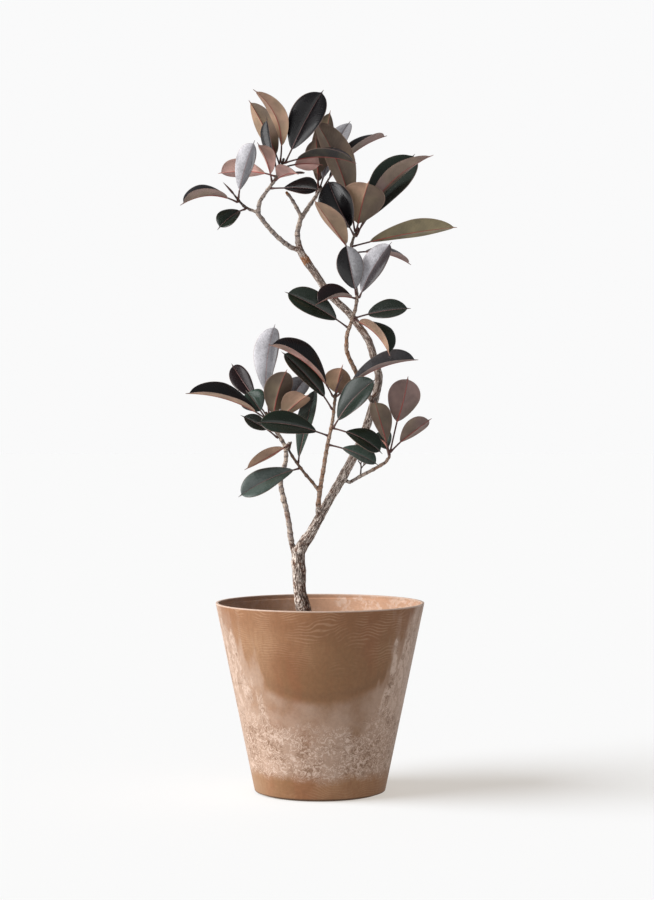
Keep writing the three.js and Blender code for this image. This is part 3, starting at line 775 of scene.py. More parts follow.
# the newest shoots, brown with patches of orange where the sheath has just dropped
shoot = blend_colours(tree, between(tree, blotches, 0.4, 0.6), SHOOT_BROWN, DARK_BARK_AND_CRACK_SHADE)
colour = blend_colours(tree, between(tree, girth_at, 0.0019, 0.0028), shoot, young_wood)
colour = blend_colours(tree, between(tree, girth_at, 0.0046, 0.0066), colour, old_wood)
tint_noise = mottle(tree, place, 17.0, 1.0)
orange_share = between(tree, tint_noise, 0.60, 0.70)
orange_share = times(tree, orange_share, between(tree, girth_at, 0.0068, 0.0050))
colour = blend_colours(tree, times(tree, orange_share, 0.7), colour, SHOOT_ORANGE)

# one fresh graze near the top of the trunk, and the healing cut of the pruned stub
SORES = [((-0.0225, 0.005, 0.839), 0.0115), ((-0.054, 0.002, 0.946), 0.0065)]
for sore_place, sore_reach in SORES:
    away = add_node(tree, "ShaderNodeVectorMath", {0: place, 1: sore_place}, operation="DISTANCE")
    sore = between(tree, away.outputs["Value"], sore_reach, sore_reach * 0.7)
    sore = times(tree, sore, between(tree, blotches, 0.40, 0.55, 0.35, 0.9))
    colour = blend_colours(tree, sore, colour, SHOOT_ORANGE)
bark_grit = add_grit(tree, place, 1100.0)
colour = shade_by(tree, colour, between(tree, bark_grit.outputs["Tone"], 0.35, 0.65, 0.82, 1.15))
tree.links.new(colour, surface.inputs["Base Color"])
bark_height = maths(tree, "MULTIPLY_ADD", ring_line, -0.5, long_cracks.outputs["Fac"])
bark_height = maths(tree, "MULTIPLY_ADD", fine_cracks.outputs["Fac"], 0.6, bark_height)
bark_height = maths(tree, "MULTIPLY_ADD", ridge_turns, 0.20, bark_height)
bark_height = maths(tree, "MULTIPLY_ADD", bark_grit.outputs["Height"], 0.25, bark_height)
raise_surface(tree, surface, bark_height, strength=0.9, distance=0.0016)
shoot_gloss = between(tree, girth_at, 0.0020, 0.0040, 0.5, 0.85)
tree.links.new(shoot_gloss, surface.inputs["Roughness"])

wood.data.materials.clear()
wood.data.materials.append(bark)
wood.data.shade_smooth()
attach(wood, "root")
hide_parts("woody_stem")


# ---- Dead twig ----
# A thin shoot that died back on the low branch. It is bare, dry and forked where its
# leaves once sat, and it grows straight out of the branch.

TWIG_ACROSS, TWIG_HEIGHT = 0.063, 0.502
TWIG_GRAIN = 0.0004
# each stick's start and end from the twig's foot, and how thick it starts
TWIG_STICKS = [
    ((0.0, 0.0, -0.003), (0.001, 0.001, 0.011), 0.0015),
    ((0.001, 0.001, 0.011), (0.0005, 0.0, 0.017), 0.0013),
    ((0.001, 0.001, 0.009), (0.005, -0.002, 0.014), 0.0012),
    ((0.005, -0.002, 0.014), (0.0056, -0.002, 0.020), 0.0011),
    ((0.0006, 0.0, 0.015), (-0.0035, 0.002, 0.021), 0.0011),
    ((0.0006, 0.0, 0.016), (0.002, 0.001, 0.022), 0.0011),
    ((0.005, -0.002, 0.014), (0.010, 0.0, 0.018), 0.0011),
]
off_foot = np.hypot(wood_points[:, 0] - TWIG_ACROSS, wood_points[:, 2] - TWIG_HEIGHT)
twig_foot = Vector(wood_points[off_foot.argmin()])
sticks = []
for start, end, thick in TWIG_STICKS:
    run = Vector(end) - Vector(start)
    bpy.ops.object.select_all(action="DESELECT")
    bpy.ops.mesh.primitive_cone_add(
        vertices=10,
        radius1=thick,
        radius2=thick * 0.75,
        depth=run.length + thick,
        location=twig_foot + (Vector(start) + Vector(end)) / 2,
        rotation=run.to_track_quat("Z", "Y").to_euler(),
    )
    bpy.ops.object.transform_apply(location=True, rotation=True, scale=True)
    sticks.append(bpy.context.object)
pick(sticks[0])
for stick in sticks:
    stick.select_set(True)
bpy.ops.object.join()
twig = bpy.context.object
twig.name = "dead_twig"
use_modifier(twig, "REMESH", mode="VOXEL", voxel_size=TWIG_GRAIN, adaptivity=0.0)
use_modifier(twig, "SMOOTH", factor=0.5, iterations=4)
twig.data.materials.clear()
twig.data.materials.append(bark)
twig.data.shade_smooth()
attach(twig, "root")
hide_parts("woody_stem")


# ---- Leaves ----
# Thick leathery blades on short stalks. The upper side is waxy and near black on young
# leaves, turning deep green with age, and the underside is dull and runs from rose to
# tan and olive. A strong midrib stands out below and ends in a fine drip tip.

BLADE_THICKNESS = 0.0008
BLADE_CAD_THICKNESS = 0.0013
DRIP_LENGTH = 0.006
STALK_RADIUS = 0.0013
STALK_ROOT = 0.0035
SIDE_POINTS = 17
RING_POINTS = 2 * SIDE_POINTS + 2
STALK_ROWS = 7
BLADE_ROWS = 46
RIB_SHARE = 0.10
RIB_STOPS = 3
FOLD_MORE = 0.10
WIDER = 1.05
DRIP_WIDTH = 0.0016
EDGE_ROLL = 0.055
WAVE_HEIGHT = 0.030
MOST_TWIST = 0.20
MOST_SWAY = 0.022


def rings_of(node, sides):
    """A lofted CAD solid's cross-sections, from its foot to its point."""
    mesh = bmesh.new()
    mesh.from_mesh(node.data)
    bmesh.ops.remove_doubles(mesh, verts=mesh.verts, dist=1e-6)

    def unevenness(vertex):
        spans = [edge.calc_length() for edge in vertex.link_edges]
        return max(spans) - min(spans)

    fans = [vertex for vertex in mesh.verts if len(vertex.link_edges) == sides]
    fans = sorted(fans, key=unevenness)[:2]
    foot = max(fans, key=lambda vertex: vertex.link_edges[0].calc_length())
    rows = []
    seen = {foot}
    front = [foot]
    while front:
        rows.append(np.array([vertex.co[:] for vertex in front]))
        reached = {edge.other_vert(vertex) for vertex in front for edge in vertex.link_edges}
        front = list(reached - seen)
        seen |= reached
    mesh.free()
    return rows


def cad_outline(share):
    """Half the CAD blade's width along it, as a share of its widest."""
    return (4 * share * (1 - share)) ** 0.56 * (1 - 0.1 * (share - 0.5))


def blade_outline(share, lean):
    """The real blade's: drawn in towards its stalk, and rounder towards its tip."""
    from_middle = 2 * np.clip(share, 0, 1) ** (1.26 + 0.16 * lean) - 1
    fullness = np.where(from_middle < 0, 1.65, 2.12 + 0.28 * lean)
    hollow = np.where(from_middle < 0, 0.62, 0.61 - 0.07 * lean)
    return (1 - np.abs(from_middle) ** fullness) ** hollow


def measure_leaf(node):
    """Where a CAD leaf's stalk starts, where its point is, and how it is turned and bent."""
    rows = rings_of(node, 6)
    foot, point = rows[0].mean(axis=0), rows[-1].mean(axis=0)
    total = np.linalg.norm(point - foot)
    along = (point - foot) / total
    stalk = (rows[2].mean(axis=0) - foot) @ along
    measured = []
    for row in rows[3:-2]:
        spread = np.linalg.norm(row[:, None] - row[None], axis=2)
        edge_a, edge_b = np.unravel_index(spread.argmax(), spread.shape)
        middle = (row[edge_a] + row[edge_b]) / 2
        sideways = (row[edge_b] - row[edge_a]) / spread.max()
        inner = [i for i in range(6) if i not in (edge_a, edge_b)]
        inner.sort(key=lambda i: abs((row[i] - middle) @ sideways))
        top, under = sorted(inner[:2], key=lambda i: np.linalg.norm(row[i] - middle))
        over = row[top] - row[under]
        over = over / np.linalg.norm(over)
        centre = row[top] - over * BLADE_CAD_THICKNESS / 2
        half = np.linalg.norm(row[edge_a] - centre)
        rise = (middle - centre) @ over
        measured.append((centre, over, half, math.asin(min(rise / half, 1))))
    centre, over, half, fold = max(measured[:-1], key=lambda m: m[2])
    up = over - along * (over @ along)
    up /= np.linalg.norm(up)
    share = (centre - foot) @ along / total
    bow = (centre - foot) @ up / (4 * share * (1 - share))
    body = total - stalk - DRIP_LENGTH
    width = half / cad_outline(((centre - foot) @ along - stalk) / body)
    lengths = dict(total=total, stalk=stalk, bow=bow, width=width, fold=fold)
    return dict(foot=foot, along=along, up=up, **lengths)


# one straight rolled leaf, drawn out ring by ring, from which every leaf is copied
bpy.ops.object.select_all(action="DESELECT")
bpy.ops.mesh.primitive_circle_add(vertices=RING_POINTS, radius=1.0)
pattern_leaf = bpy.context.object
pattern_leaf.name = "pattern_leaf"
bpy.ops.object.mode_set(mode="EDIT")
bpy.ops.mesh.select_all(action="SELECT")
for row in range(STALK_ROWS + BLADE_ROWS - 1):
    bpy.ops.mesh.extrude_region_move(TRANSFORM_OT_translate={"value": (0, 0, 1)})
bpy.ops.mesh.edge_face_add()
bpy.ops.mesh.select_all(action="DESELECT")
bpy.ops.object.mode_set(mode="OBJECT")
for edge in pattern_leaf.data.edges:
    edge.select = all(pattern_leaf.data.vertices[i].co.z < 0.5 for i in edge.vertices)
bpy.ops.object.mode_set(mode="EDIT")
bpy.ops.mesh.select_mode(type="EDGE")
bpy.ops.mesh.edge_face_add()
bpy.ops.mesh.select_all(action="SELECT")
bpy.ops.mesh.normals_make_consistent(inside=False)
bpy.ops.object.mode_set(mode="OBJECT")

count = len(pattern_leaf.data.vertices)
rolled = np.empty(count * 3)
pattern_leaf.data.vertices.foreach_get("co", rolled)
rolled = rolled.reshape(-1, 3)
leaf_row = np.rint(rolled[:, 2]).astype(int)
turn = np.arctan2(rolled[:, 1], rolled[:, 0])
step_turn = 2 * math.pi / RING_POINTS
leaf_spot = np.rint((turn - turn[0]) / step_turn).astype(int) % RING_POINTS

# spot 0 is the right edge; 1 to 17 run over the top to the left edge, at 18; then below
on_top = (leaf_spot >= 1) & (leaf_spot <= SIDE_POINTS)
below = leaf_spot > SIDE_POINTS + 1
stop = np.where(on_top, leaf_spot - 1, np.where(below, RING_POINTS - 1 - leaf_spot, 0))
stop = np.where(leaf_spot == SIDE_POINTS + 1, SIDE_POINTS - 1, stop)
side = 1 - stop / (SIDE_POINTS // 2)
sign = np.sign(side)
steps_out = np.rint(np.abs(side) * (SIDE_POINTS // 2)).astype(int)
rib_share = np.array([0, 0.5, 0.87, 1, 1, 1, 1, 1, 1])[steps_out]
lamina_share = np.array([0, 0, 0, 0, 0.18, 0.42, 0.66, 0.87, 1.0])[steps_out]
on_edge = (leaf_spot == 0) | (leaf_spot == SIDE_POINTS + 1)
is_upper = np.where(on_top, 1.0, np.where(on_edge, 0.5, 0.0))

# the blade's map: u from the midrib to the edge on each side, v from the stalk to the tip
column_u = np.where(
    steps_out <= RIB_STOPS,
    RIB_SHARE * steps_out / RIB_STOPS,
    RIB_SHARE + (1 - RIB_SHARE) * lamina_share,
)
map_u = 0.5 + 0.5 * sign * column_u
blade_steps = np.clip((leaf_row - STALK_ROWS + 1) / BLADE_ROWS, 0, 1)
blade_share = 0.5 - 0.5 * np.cos(math.pi * blade_steps**0.92)
is_stalk = np.where(leaf_row < STALK_ROWS, 1.0, 0.0)

corner_points = np.empty(len(pattern_leaf.data.loops), np.int64)
pattern_leaf.data.loops.foreach_get("vertex_index", corner_points)
corner_map = np.stack([map_u, blade_share], 1)[corner_points].astype(np.float32)
blade_map = pattern_leaf.data.uv_layers.new(name="blade")
blade_map.data.foreach_set("uv", corner_map.ravel())
for name, values in (("upper", is_upper), ("stalk", is_stalk)):
    layer = pattern_leaf.data.attributes.new(name, "FLOAT", "POINT")
    layer.data.foreach_set("value", values.astype(np.float32))
pattern_leaf.data.shade_smooth()


def bend_leaf(size, seed):
    """The points of one leaf, thick, ribbed and rolled as its CAD solid is turned."""
    dice = random.Random(seed)
    lean = dice.uniform(-1, 1)
    total, stalk, width = size["total"], size["stalk"], size["width"] * WIDER
    up, along = size["up"], size["along"]
    right = np.cross(up, along)
    blade = total - stalk
    distance = np.where(
        leaf_row < STALK_ROWS,
        -STALK_ROOT + (stalk + STALK_ROOT) * leaf_row / (STALK_ROWS - 1),
        stalk + blade * blade_share,
    )
    body_share = (distance - stalk) / (blade - DRIP_LENGTH)
    outline = width * blade_outline(body_share, lean)
    drip = DRIP_WIDTH * np.clip((total - distance) / 0.010, 0.12, 1) ** 0.8
    half = np.sqrt(outline**2 + drip**2)
    along_blade = np.clip((distance - stalk) / blade, 0, 1)
    rib = STALK_RADIUS * (1 - 0.78 * along_blade)
    rib = np.minimum(rib, 0.55 * half)
    lateral = sign * (rib * rib_share + (half - rib) * lamina_share)
    lateral = lateral + np.where(on_edge, sign * 0.00018, 0)
    out = np.abs(lateral) / np.maximum(half, 1e-6)

    # each half arches a little from the fold, rolls under at its edge and waves slightly
    wave_turn = dice.uniform(0, 6.28)
    wave = WAVE_HEIGHT * np.sin(9 * along_blade + wave_turn + 1.7 * sign) * out**2
    arch = EDGE_ROLL * np.sin(math.pi * np.clip(out, 0, 1)) - EDGE_ROLL * out**7
    fold = size["fold"] + FOLD_MORE
    lift = half * (math.sin(fold) * out + (arch + wave) * np.where(half > 0.004, 1, 0.2))
    spread_out = lateral * math.cos(fold)

    skin = BLADE_THICKNESS / 2 * (1 - 0.45 * out**2)
    rib_round = np.sqrt(np.clip(1 - (np.abs(lateral) / np.maximum(rib, 1e-6)) ** 2, 0, 1))
    rib_round = np.where(steps_out <= RIB_STOPS, rib_round, 0)
    top_height = skin - 0.00022 * rib_round
    under_height = -skin - rib * rib_round * 0.95
    skin_height = np.where(on_top, top_height, np.where(below, under_height, 0))

    # no blade is quite true: it twists towards its tip and bends a little sideways
    twist = dice.uniform(-MOST_TWIST, MOST_TWIST) * along_blade**1.5
    sideways = dice.uniform(-MOST_SWAY, MOST_SWAY) * total * 4 * along_blade * (1 - along_blade)
    twisted_x = spread_out * np.cos(twist) - lift * np.sin(twist)
    lift = spread_out * np.sin(twist) + lift * np.cos(twist)
    spread_out = twisted_x + sideways

    # the stalk is round, and opens into the blade over its last rows
    opening = np.clip(along_blade / 0.035, 0, 1)
    around = leaf_spot * step_turn
    stalk_girth = STALK_RADIUS * (1 + 0.55 * np.exp(-np.clip(distance, 0, 1) / 0.0025))
    blade_x, blade_y = spread_out, lift + skin_height
    local_x = (1 - opening) * stalk_girth * np.cos(around) + opening * blade_x
    local_y = (1 - opening) * stalk_girth * np.sin(around) + opening * blade_y

    t = np.clip(distance / total, 0, 1)
    slope = 4 * size["bow"] * (1 - 2 * t) / total
    over = up[None] - along[None] * slope[:, None]
    over /= np.linalg.norm(over, axis=1)[:, None]
    centre = (
        size["foot"][None]
        + along[None] * distance[:, None]
        + up[None] * (4 * size["bow"] * t * (1 - t))[:, None]
    )
    return centre + right[None] * local_x[:, None] + over * local_y[:, None]


# upper sides
INK = (0.0032, 0.0026, 0.0036)
BURGUNDY_BLACK = (0.0090, 0.0030, 0.0042)
BOTTLE_GREEN = (0.0055, 0.0125, 0.0060)
FOREST_GREEN = (0.0080, 0.0190, 0.0120)
SEA_GREEN = (0.0130, 0.0340, 0.0215)
SLATE = (0.020, 0.020, 0.024)
# undersides
TAN = (0.385, 0.235, 0.160)
ROSE = (0.460, 0.265, 0.235)
MAUVE = (0.225, 0.145, 0.130)
UMBER = (0.135, 0.090, 0.064)
OLIVE = (0.190, 0.155, 0.085)

# each leaf's upper and lower colour; where there are three, the lower halves differ. On upper_left_4 and
# side_stem_1 the paler lower half on the plant's left, towards the light, is painted light and the
# darker one painted shade
LEAF_COLOURS = {
    "upper_left": [
        (INK, ROSE), (INK, TAN), (INK, UMBER), (INK, TAN, UMBER), (BURGUNDY_BLACK, INK, MAUVE),
        (INK, ROSE), (INK, ROSE), (INK, ROSE), (INK, ROSE), (INK, MAUVE),
    ],
    "upper_left_twig": [(SLATE, MAUVE), (INK, MAUVE), (BOTTLE_GREEN, MAUVE)],
    "upper_right": [(INK, UMBER), (SLATE, MAUVE), (INK, MAUVE), (INK, UMBER)],
    "side_stem": [
        (INK, TAN, UMBER), (BOTTLE_GREEN, MAUVE), (INK, MAUVE), (INK, UMBER), (INK, MAUVE),
        (INK, OLIVE), (INK, TAN), (SLATE, MAUVE), (INK, MAUVE), (BURGUNDY_BLACK, MAUVE),
        (BURGUNDY_BLACK, MAUVE), (BOTTLE_GREEN, MAUVE), (BOTTLE_GREEN, TAN), (BOTTLE_GREEN, MAUVE),
    ],
    "left_stem": [
        (SLATE, MAUVE), (BURGUNDY_BLACK, UMBER), (INK, TAN), (SEA_GREEN, MAUVE),
        (INK, UMBER), (INK, TAN), (SLATE, MAUVE), (BOTTLE_GREEN, MAUVE),
    ],
    "middle_twig": [(SEA_GREEN, MAUVE), (BOTTLE_GREEN, TAN), (SEA_GREEN, MAUVE)],
    "middle_stem": [
        (INK, ROSE), (INK, MAUVE), (INK, TAN), (BOTTLE_GREEN, MAUVE),
        (FOREST_GREEN, MAUVE), (BOTTLE_GREEN, MAUVE), (BOTTLE_GREEN, MAUVE), (SEA_GREEN, MAUVE),
    ],
    "low_branch": [(INK, MAUVE), (INK, MAUVE), (INK, UMBER), (SEA_GREEN, MAUVE)],
}

# how strongly a whitish sheen is painted on the upper side as a painted reflection: on the half to the
# plant's left, and right
LEAF_PAINTED_SHEEN = {
    "upper_left_1": (0.010, 0.0), "upper_left_3": (0.01, 0.0), "upper_left_5": (0.04, 0.10),
    "upper_left_twig_1": (0.95, 0.14), "upper_left_twig_2": (0.03, 0.03),
    "upper_right_2": (0.50, 0.40), "upper_right_3": (0.03, 0.02),
    "side_stem_2": (0.01, 0.03), "side_stem_3": (0.03, 0.03), "side_stem_8": (0.55, 0.55),
    "side_stem_9": (0.01, 0.38), "side_stem_10": (1.0, 0.06), "side_stem_12": (0.02, 0.035),
    "side_stem_14": (0.0, 0.02),
    "left_stem_1": (0.92, 0.20), "left_stem_4": (0.03, 0.03), "left_stem_7": (0.22, 0.22),
    "left_stem_8": (0.02, 0.02), "middle_twig_1": (0.08, 0.05), "middle_twig_3": (0.16, 0.09),
    "middle_stem_2": (0.10, 0.10), "middle_stem_5": (0.03, 0.02), "middle_stem_7": (0.012, 0.0),
    "middle_stem_8": (0.12, 0.06), "low_branch_4": (0.05, 0.05),
}

RIB_PALE = (0.330, 0.200, 0.190)
RIB_RED = (0.300, 0.050, 0.040)
MARGIN = (0.330, 0.210, 0.170)
STALK_BROWN = (0.085, 0.030, 0.024)
# the whitish colour of the painted reflection on the upper sides
PAINTED_SHEEN_WHITE = (0.610, 0.600, 0.640)
RIB_DULL = (0.220, 0.120, 0.115)
SIDE_VEINS = 30.0
VEIN_SWEEP = -4.2

leather, tree, surface = new_material("leaf_leather", BOTTLE_GREEN, 0.3)
place = add_node(tree, "ShaderNodeTexCoord").outputs["Object"]
upper_at = add_node(tree, "ShaderNodeAttribute", attribute_name="upper").outputs["Fac"]
stalk_at = add_node(tree, "ShaderNodeAttribute", attribute_name="stalk").outputs["Fac"]
upper_tone = add_node(tree, "ShaderNodeAttribute", attribute_name="upper_tone").outputs["Color"]
under_tone = add_node(tree, "ShaderNodeAttribute", attribute_name="under_tone").outputs["Color"]
blade_uv = add_node(tree, "ShaderNodeUVMap", uv_map="blade").outputs[0]
uv_split = add_node(tree, "ShaderNodeSeparateXYZ", {0: blade_uv})
map_across, map_along = uv_split.outputs[0], uv_split.outputs[1]
from_rib = maths(tree, "ABSOLUTE", maths(tree, "MULTIPLY_ADD", map_across, 2.0, -1.0))
is_top = between(tree, upper_at, 0.45, 0.55)
on_rib = between(tree, from_rib, RIB_SHARE * 1.05, RIB_SHARE * 0.55)
on_margin = between(tree, from_rib, 0.955, 0.995)

# the side veins leave the midrib close together and sweep gently forward
vein_wander = mottle(tree, blade_uv, 9.0, 1.0)
vein_place = times(tree, map_along, SIDE_VEINS)
swept = maths(tree, "POWER", from_rib, 1.25)
vein_place = maths(tree, "MULTIPLY_ADD", swept, VEIN_SWEEP, vein_place)
vein_place = maths(tree, "MULTIPLY_ADD", vein_wander, 1.1, vein_place)
vein_turns = off(tree, maths(tree, "FRACT", vein_place), 0.5)
veins = between(tree, vein_turns, 0.13, 0.0)
veins = times(tree, veins, between(tree, from_rib, 0.97, 0.80))

cloudy = mottle(tree, place, 42.0, 4.0)
leaf_grit = add_grit(tree, place, 1500.0)

# upper side: deep colour, a painted reflection of whitish sheen in patches, a pale midrib
painted_sheen_at = add_node(tree, "ShaderNodeAttribute", attribute_name="painted_sheen").outputs["Fac"]
painted_sheen_specks = mottle(tree, place, 330.0, 3.0)
painted_sheen = times(tree, painted_sheen_at, between(tree, cloudy, 0.30, 0.62, 0.68, 1.0))
painted_sheen = times(tree, painted_sheen, between(tree, painted_sheen_specks, 0.35, 0.60, 0.76, 1.0))
painted_sheen = times(tree, painted_sheen, between(tree, veins, 0.0, 1.0, 1.0, 0.78))
top_colour = blend_colours(tree, painted_sheen, upper_tone, PAINTED_SHEEN_WHITE)
top_colour = blend_colours(tree, times(tree, veins, 0.04), top_colour, RIB_PALE)
top_rib = between(tree, from_rib, RIB_SHARE * 0.62, RIB_SHARE * 0.25)
top_colour = blend_colours(tree, times(tree, top_rib, 0.80), top_colour, RIB_DULL)

# underside: dull, mottled and freckled, with a red midrib and faint paler veins
shade = between(tree, cloudy, 0.3, 0.7, 0.74, 1.18)
olive_patch = mottle(tree, place, 19.0, 2.0)
olive_share = between(tree, olive_patch, 0.42, 0.68, 0.0, 0.45)
low_colour = blend_colours(tree, olive_share, under_tone, OLIVE)
low_colour = shade_by(tree, low_colour, shade)
freckles = between(tree, leaf_grit.outputs["Tone"], 0.56, 0.66, 0.0, 0.35)
low_colour = blend_colours(tree, freckles, low_colour, UMBER)
low_colour = blend_colours(tree, times(tree, veins, 0.16), low_colour, TAN)
low_colour = blend_colours(tree, times(tree, on_rib, 0.85), low_colour, RIB_RED)

colour = blend_colours(tree, is_top, low_colour, top_colour)
colour = blend_colours(tree, times(tree, on_margin, 0.6), colour, MARGIN)
colour = blend_colours(tree, stalk_at, colour, STALK_BROWN)
tree.links.new(colour, surface.inputs["Base Color"])
wax = between(tree, cloudy, 0.38, 0.60, 0.17, 0.34)
wax = maths(tree, "MULTIPLY_ADD", painted_sheen, 0.25, wax)
rough = add_node(tree, "ShaderNodeMix", {0: is_top, 2: 0.62, 3: wax}).outputs[0]
tree.links.new(rough, surface.inputs["Roughness"])
tree.links.new(times(tree, is_top, 0.24), surface.inputs["Coat Weight"])
surface.inputs["Coat Roughness"].default_value = 0.13
leaf_height = times(tree, leaf_grit.outputs["Height"], 0.25)
leaf_height = maths(tree, "MULTIPLY_ADD", veins, 0.35, leaf_height)
raise_surface(tree, surface, leaf_height, strength=0.38, distance=0.0007)


def add_leaf(stem, number, tones):
    """Copies the pattern leaf, bends it to its place and gives it its own colours."""
    node_name = f"leaf_{stem}_{number}"
    leaf = pattern_leaf.copy()
    leaf.data = pattern_leaf.data.copy()
    leaf.name = f"blade_{stem}_{number}"
    bpy.context.scene.collection.objects.link(leaf)
    size = measure_leaf(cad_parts[node_name])
    points = bend_leaf(size, node_name)
    leaf.data.vertices.foreach_set("co", points.astype(np.float32).ravel())
    # a whitish sheen is painted on each half of the upper side as a painted reflection
    painted_sheen_left, painted_sheen_right = LEAF_PAINTED_SHEEN.get(f"{stem}_{number}", (0.0, 0.0))
    to_right = sign * np.sign(np.cross(size["up"], size["along"])[0])
    spread_painted_sheen = (painted_sheen_left + painted_sheen_right) / 2 + (painted_sheen_right - painted_sheen_left) / 2 * to_right
    layer = leaf.data.attributes.new("painted_sheen", "FLOAT", "POINT")
    layer.data.foreach_set("value", spread_painted_sheen.astype(np.float32))
    dice = random.Random(node_name + "tone")
    # each lower half can take its own colour; on some leaves that difference is painted light and
    # painted shade
    upper, under_left, under_right = tones[0], tones[1], tones[-1]
    for name, left, right in (("upper_tone", upper, upper), ("under_tone", under_left, under_right)):
        strength = dice.uniform(0.85, 1.15)
        layer = leaf.data.attributes.new(name, "FLOAT_COLOR", "POINT")
        halves = np.where(to_right[:, None] > 0, right, left) * strength
        painted = np.concatenate([halves, np.ones((count, 1))], axis=1)
        layer.data.foreach_set("color", painted.astype(np.float32).ravel())
    leaf.data.materials.clear()
    leaf.data.materials.append(leather)
    leaf.data.update()
    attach(leaf, "root")
    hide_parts(node_name)


for stem, tones in LEAF_COLOURS.items():
    for number, pair in enumerate(tones, 1):
        add_leaf(stem, number, pair)
bpy.data.objects.remove(pattern_leaf)


# ---- Buds ----
# The next leaf of a shoot, still rolled in its pointed papery sheath. Two are dark and
# slender, and the one on the low branch is fat and salmon pink.

BUD_SIDES = 24
BUD_ROWS = 26
SEAM_WINDINGS = 1.3
BUD_ROOT = 0.0012
BUD_DARK = (0.060, 0.022, 0.020)
BUD_DARK_TIP = (0.110, 0.060, 0.050)
BUD_SALMON = (0.560, 0.200, 0.150)
BUD_SALMON_TIP = (0.620, 0.300, 0.240)


def make_sheath(name, base_tone, tip_tone):
    """A papery skin, streaked lengthwise, with a dark seam that winds round it."""
    sheath, tree, surface = new_material(name, base_tone, 0.45)
    place = add_node(tree, "ShaderNodeTexCoord").outputs["Object"]
    rolled_at = add_node(tree, "ShaderNodeUVMap", uv_map="roll").outputs[0]
    roll = add_node(tree, "ShaderNodeSeparateXYZ", {0: rolled_at})
    seam = maths(tree, "MULTIPLY_ADD", roll.outputs[1], SEAM_WINDINGS, roll.outputs[0])
    seam = off(tree, maths(tree, "FRACT", seam), 0.5)
    seam = between(tree, seam, 0.05, 0.0)
    streaks = mottle(tree, stretch(tree, rolled_at, (14.0, 1.0, 1.0)), 2.0, 3.0)
    share = between(tree, roll.outputs[1], 0.1, 0.95)
    colour = blend_colours(tree, share, base_tone, tip_tone)
    share = between(tree, streaks, 0.45, 0.7, 0.0, 0.4)
    colour = blend_colours(tree, share, colour, tip_tone)
    colour = blend_colours(tree, times(tree, seam, 0.7), colour, BUD_DARK)
    tree.links.new(colour, surface.inputs["Base Color"])
    bud_grit = add_grit(tree, place, 1800.0)
    bud_height = maths(tree, "MULTIPLY_ADD", seam, -1.0, bud_grit.outputs["Height"])
    raise_surface(tree, surface, bud_height, strength=0.4, distance=0.0005)
    return sheath


dark_sheath = make_sheath("dark_sheath", BUD_DARK, BUD_DARK_TIP)
salmon_sheath = make_sheath("salmon_sheath", BUD_SALMON, BUD_SALMON_TIP)


def add_bud(stem, sheath):
    """Draws a bud out along its CAD solid, with a groove that winds round it."""
    node_name = f"bud_{stem}"
    rows = rings_of(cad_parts[node_name], 8)
    centres = np.array([row.mean(axis=0) for row in rows[1:-1]])
    radii = np.array([np.linalg.norm(row - row.mean(axis=0), axis=1).mean() for row in rows[1:-1]])
    stops = np.linspace(0, len(centres) - 1, BUD_ROWS)
    known = np.arange(len(centres))
    line = np.stack([np.interp(stops, known, centres[:, axis]) for axis in range(3)], 1)
    girths = np.interp(stops, known, radii)
    for values in (line, girths):
        for _ in range(3):
            values[1:-1] = (values[:-2] + 2 * values[1:-1] + values[2:]) / 4
    bpy.ops.object.select_all(action="DESELECT")
    bpy.ops.mesh.primitive_circle_add(vertices=BUD_SIDES, radius=1.0, fill_type="NGON")
    bud = bpy.context.object
    bud.name = f"sheath_{stem}"
    bpy.ops.object.mode_set(mode="EDIT")
    bpy.ops.mesh.select_mode(type="EDGE")
    bpy.ops.mesh.select_all(action="DESELECT")
    bpy.ops.mesh.select_non_manifold()
    for row in range(BUD_ROWS - 1):
        bpy.ops.mesh.extrude_region_move(TRANSFORM_OT_translate={"value": (0, 0, 1)})
    bpy.ops.mesh.edge_face_add()
    bpy.ops.mesh.select_all(action="SELECT")
    bpy.ops.mesh.normals_make_consistent(inside=False)
    bpy.ops.object.mode_set(mode="OBJECT")
    turned = np.empty((len(bud.data.vertices), 3))
    bud.data.vertices.foreach_get("co", turned.reshape(-1))
    row = np.rint(turned[:, 2]).astype(int)
    around = np.arctan2(turned[:, 1], turned[:, 0])
    along = np.gradient(line, axis=0)
    along /= np.linalg.norm(along, axis=1)[:, None]
    sideways = np.cross((0.0, 1.0, 0.0), along)
    sideways /= np.linalg.norm(sideways, axis=1)[:, None]
    over = np.cross(along, sideways)
    share = row / (BUD_ROWS - 1)
    groove = np.cos(around + 2 * math.pi * SEAM_WINDINGS * share) > 0.97
    reach = girths[row] * np.where(groove, 0.86, 1.0) * np.where(row == BUD_ROWS - 1, 0.3, 1)
    points = (
        line[row]
        + sideways[row] * (reach * np.cos(around))[:, None]
        + over[row] * (reach * np.sin(around))[:, None]
    )
    points = points - along[row] * np.where(row == 0, BUD_ROOT, 0)[:, None]
    bud.data.vertices.foreach_set("co", points.ravel())
    corners = np.empty(len(bud.data.loops), np.int64)
    bud.data.loops.foreach_get("vertex_index", corners)
    roll = np.stack([around / (2 * math.pi) + 0.5, share], 1)[corners]
    bud.data.uv_layers.new(name="roll").data.foreach_set("uv", roll.astype(np.float32).ravel())
    bud.data.materials.append(sheath)
    bud.data.shade_smooth()
    bud.data.update()
    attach(bud, "root")
    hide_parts(node_name)


add_bud("upper_left_twig", dark_sheath)
add_bud("middle_stem", dark_sheath)
add_bud("low_branch", salmon_sheath)


# ---- Floor and light ----
# A plain pale studio floor that runs out of sight, a broad soft light from the upper left
# and front, a tall white panel that shines on the leaves, and an even white surround.

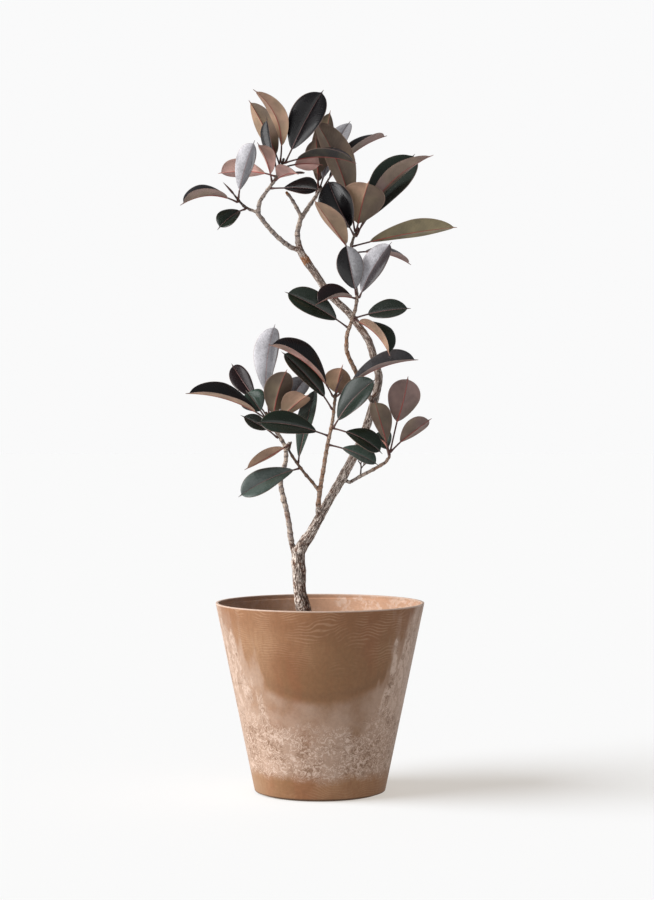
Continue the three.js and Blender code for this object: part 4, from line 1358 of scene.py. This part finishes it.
FLOOR_TONE = (0.380, 0.42, 0.470, 1)
FLOOR_GLOW = (1.0, 0.927, 0.839, 1)
FLOOR_GLOW_STRENGTH = 0.5386
WINDOW_TONE = (1.0, 0.985, 0.96)
WINDOW_STRENGTH = 5.2
WINDOW_WIDTH = math.radians(48)
WINDOW_WAY = Vector((1.85, 0.45, -1.25))
PANEL_PLACE = (-1.75, -1.0, 0.95)
PANEL_WAY = Vector((1.75, 1.0, -0.20))
PANEL_WIDTH, PANEL_HEIGHT = 1.3, 1.9
PANEL_POWER = 24
SURROUND_GLOW = (0.95, 0.97, 1.0, 1)
BACKDROP_TONE = (0.955, 0.955, 0.957, 1)

bpy.ops.object.select_all(action="DESELECT")
bpy.ops.mesh.primitive_plane_add(size=60, location=(0, 0, 0))
floor = bpy.context.object
floor.name = "studio_floor"
paper, tree, surface = new_material("studio_paper", FLOOR_TONE[:3], 0.9)
surface.inputs["Base Color"].default_value = FLOOR_TONE
surface.inputs["Specular IOR Level"].default_value = 0.0
surface.inputs["Emission Color"].default_value = FLOOR_GLOW
surface.inputs["Emission Strength"].default_value = FLOOR_GLOW_STRENGTH
floor.data.materials.append(paper)

key_data = bpy.data.lights.new("window", "SUN")
key_data.energy = WINDOW_STRENGTH
key_data.angle = WINDOW_WIDTH
key_data.color = WINDOW_TONE
key = bpy.data.objects.new("window", key_data)
key.rotation_euler = WINDOW_WAY.to_track_quat("-Z", "Y").to_euler()
key.visible_glossy = False
bpy.context.scene.collection.objects.link(key)

# a tall white panel beside the camera, which only shows as a broad shine on the leaves
panel_data = bpy.data.lights.new("panel", "AREA")
panel_data.shape = "RECTANGLE"
panel_data.size = PANEL_WIDTH
panel_data.size_y = PANEL_HEIGHT
panel_data.energy = PANEL_POWER
panel = bpy.data.objects.new("panel", panel_data)
panel.location = PANEL_PLACE
panel.rotation_euler = PANEL_WAY.to_track_quat("-Z", "Y").to_euler()
panel.visible_diffuse = False
panel.visible_camera = False
bpy.context.scene.collection.objects.link(panel)

surround = bpy.data.worlds.new("surround")
surround.use_nodes = True
bpy.context.scene.world = surround
tree = surround.node_tree
tree.nodes.clear()
glow = add_node(tree, "ShaderNodeBackground", {"Color": SURROUND_GLOW, "Strength": 0.20})
backdrop = add_node(tree, "ShaderNodeBackground", {"Color": BACKDROP_TONE, "Strength": 1.0})
seen = add_node(tree, "ShaderNodeLightPath").outputs["Is Camera Ray"]
sky = add_node(tree, "ShaderNodeMixShader", {0: seen, 1: glow.outputs[0], 2: backdrop.outputs[0]})
add_node(tree, "ShaderNodeOutputWorld", {"Surface": sky.outputs[0]})
bpy.context.scene.view_settings.view_transform = "Standard"
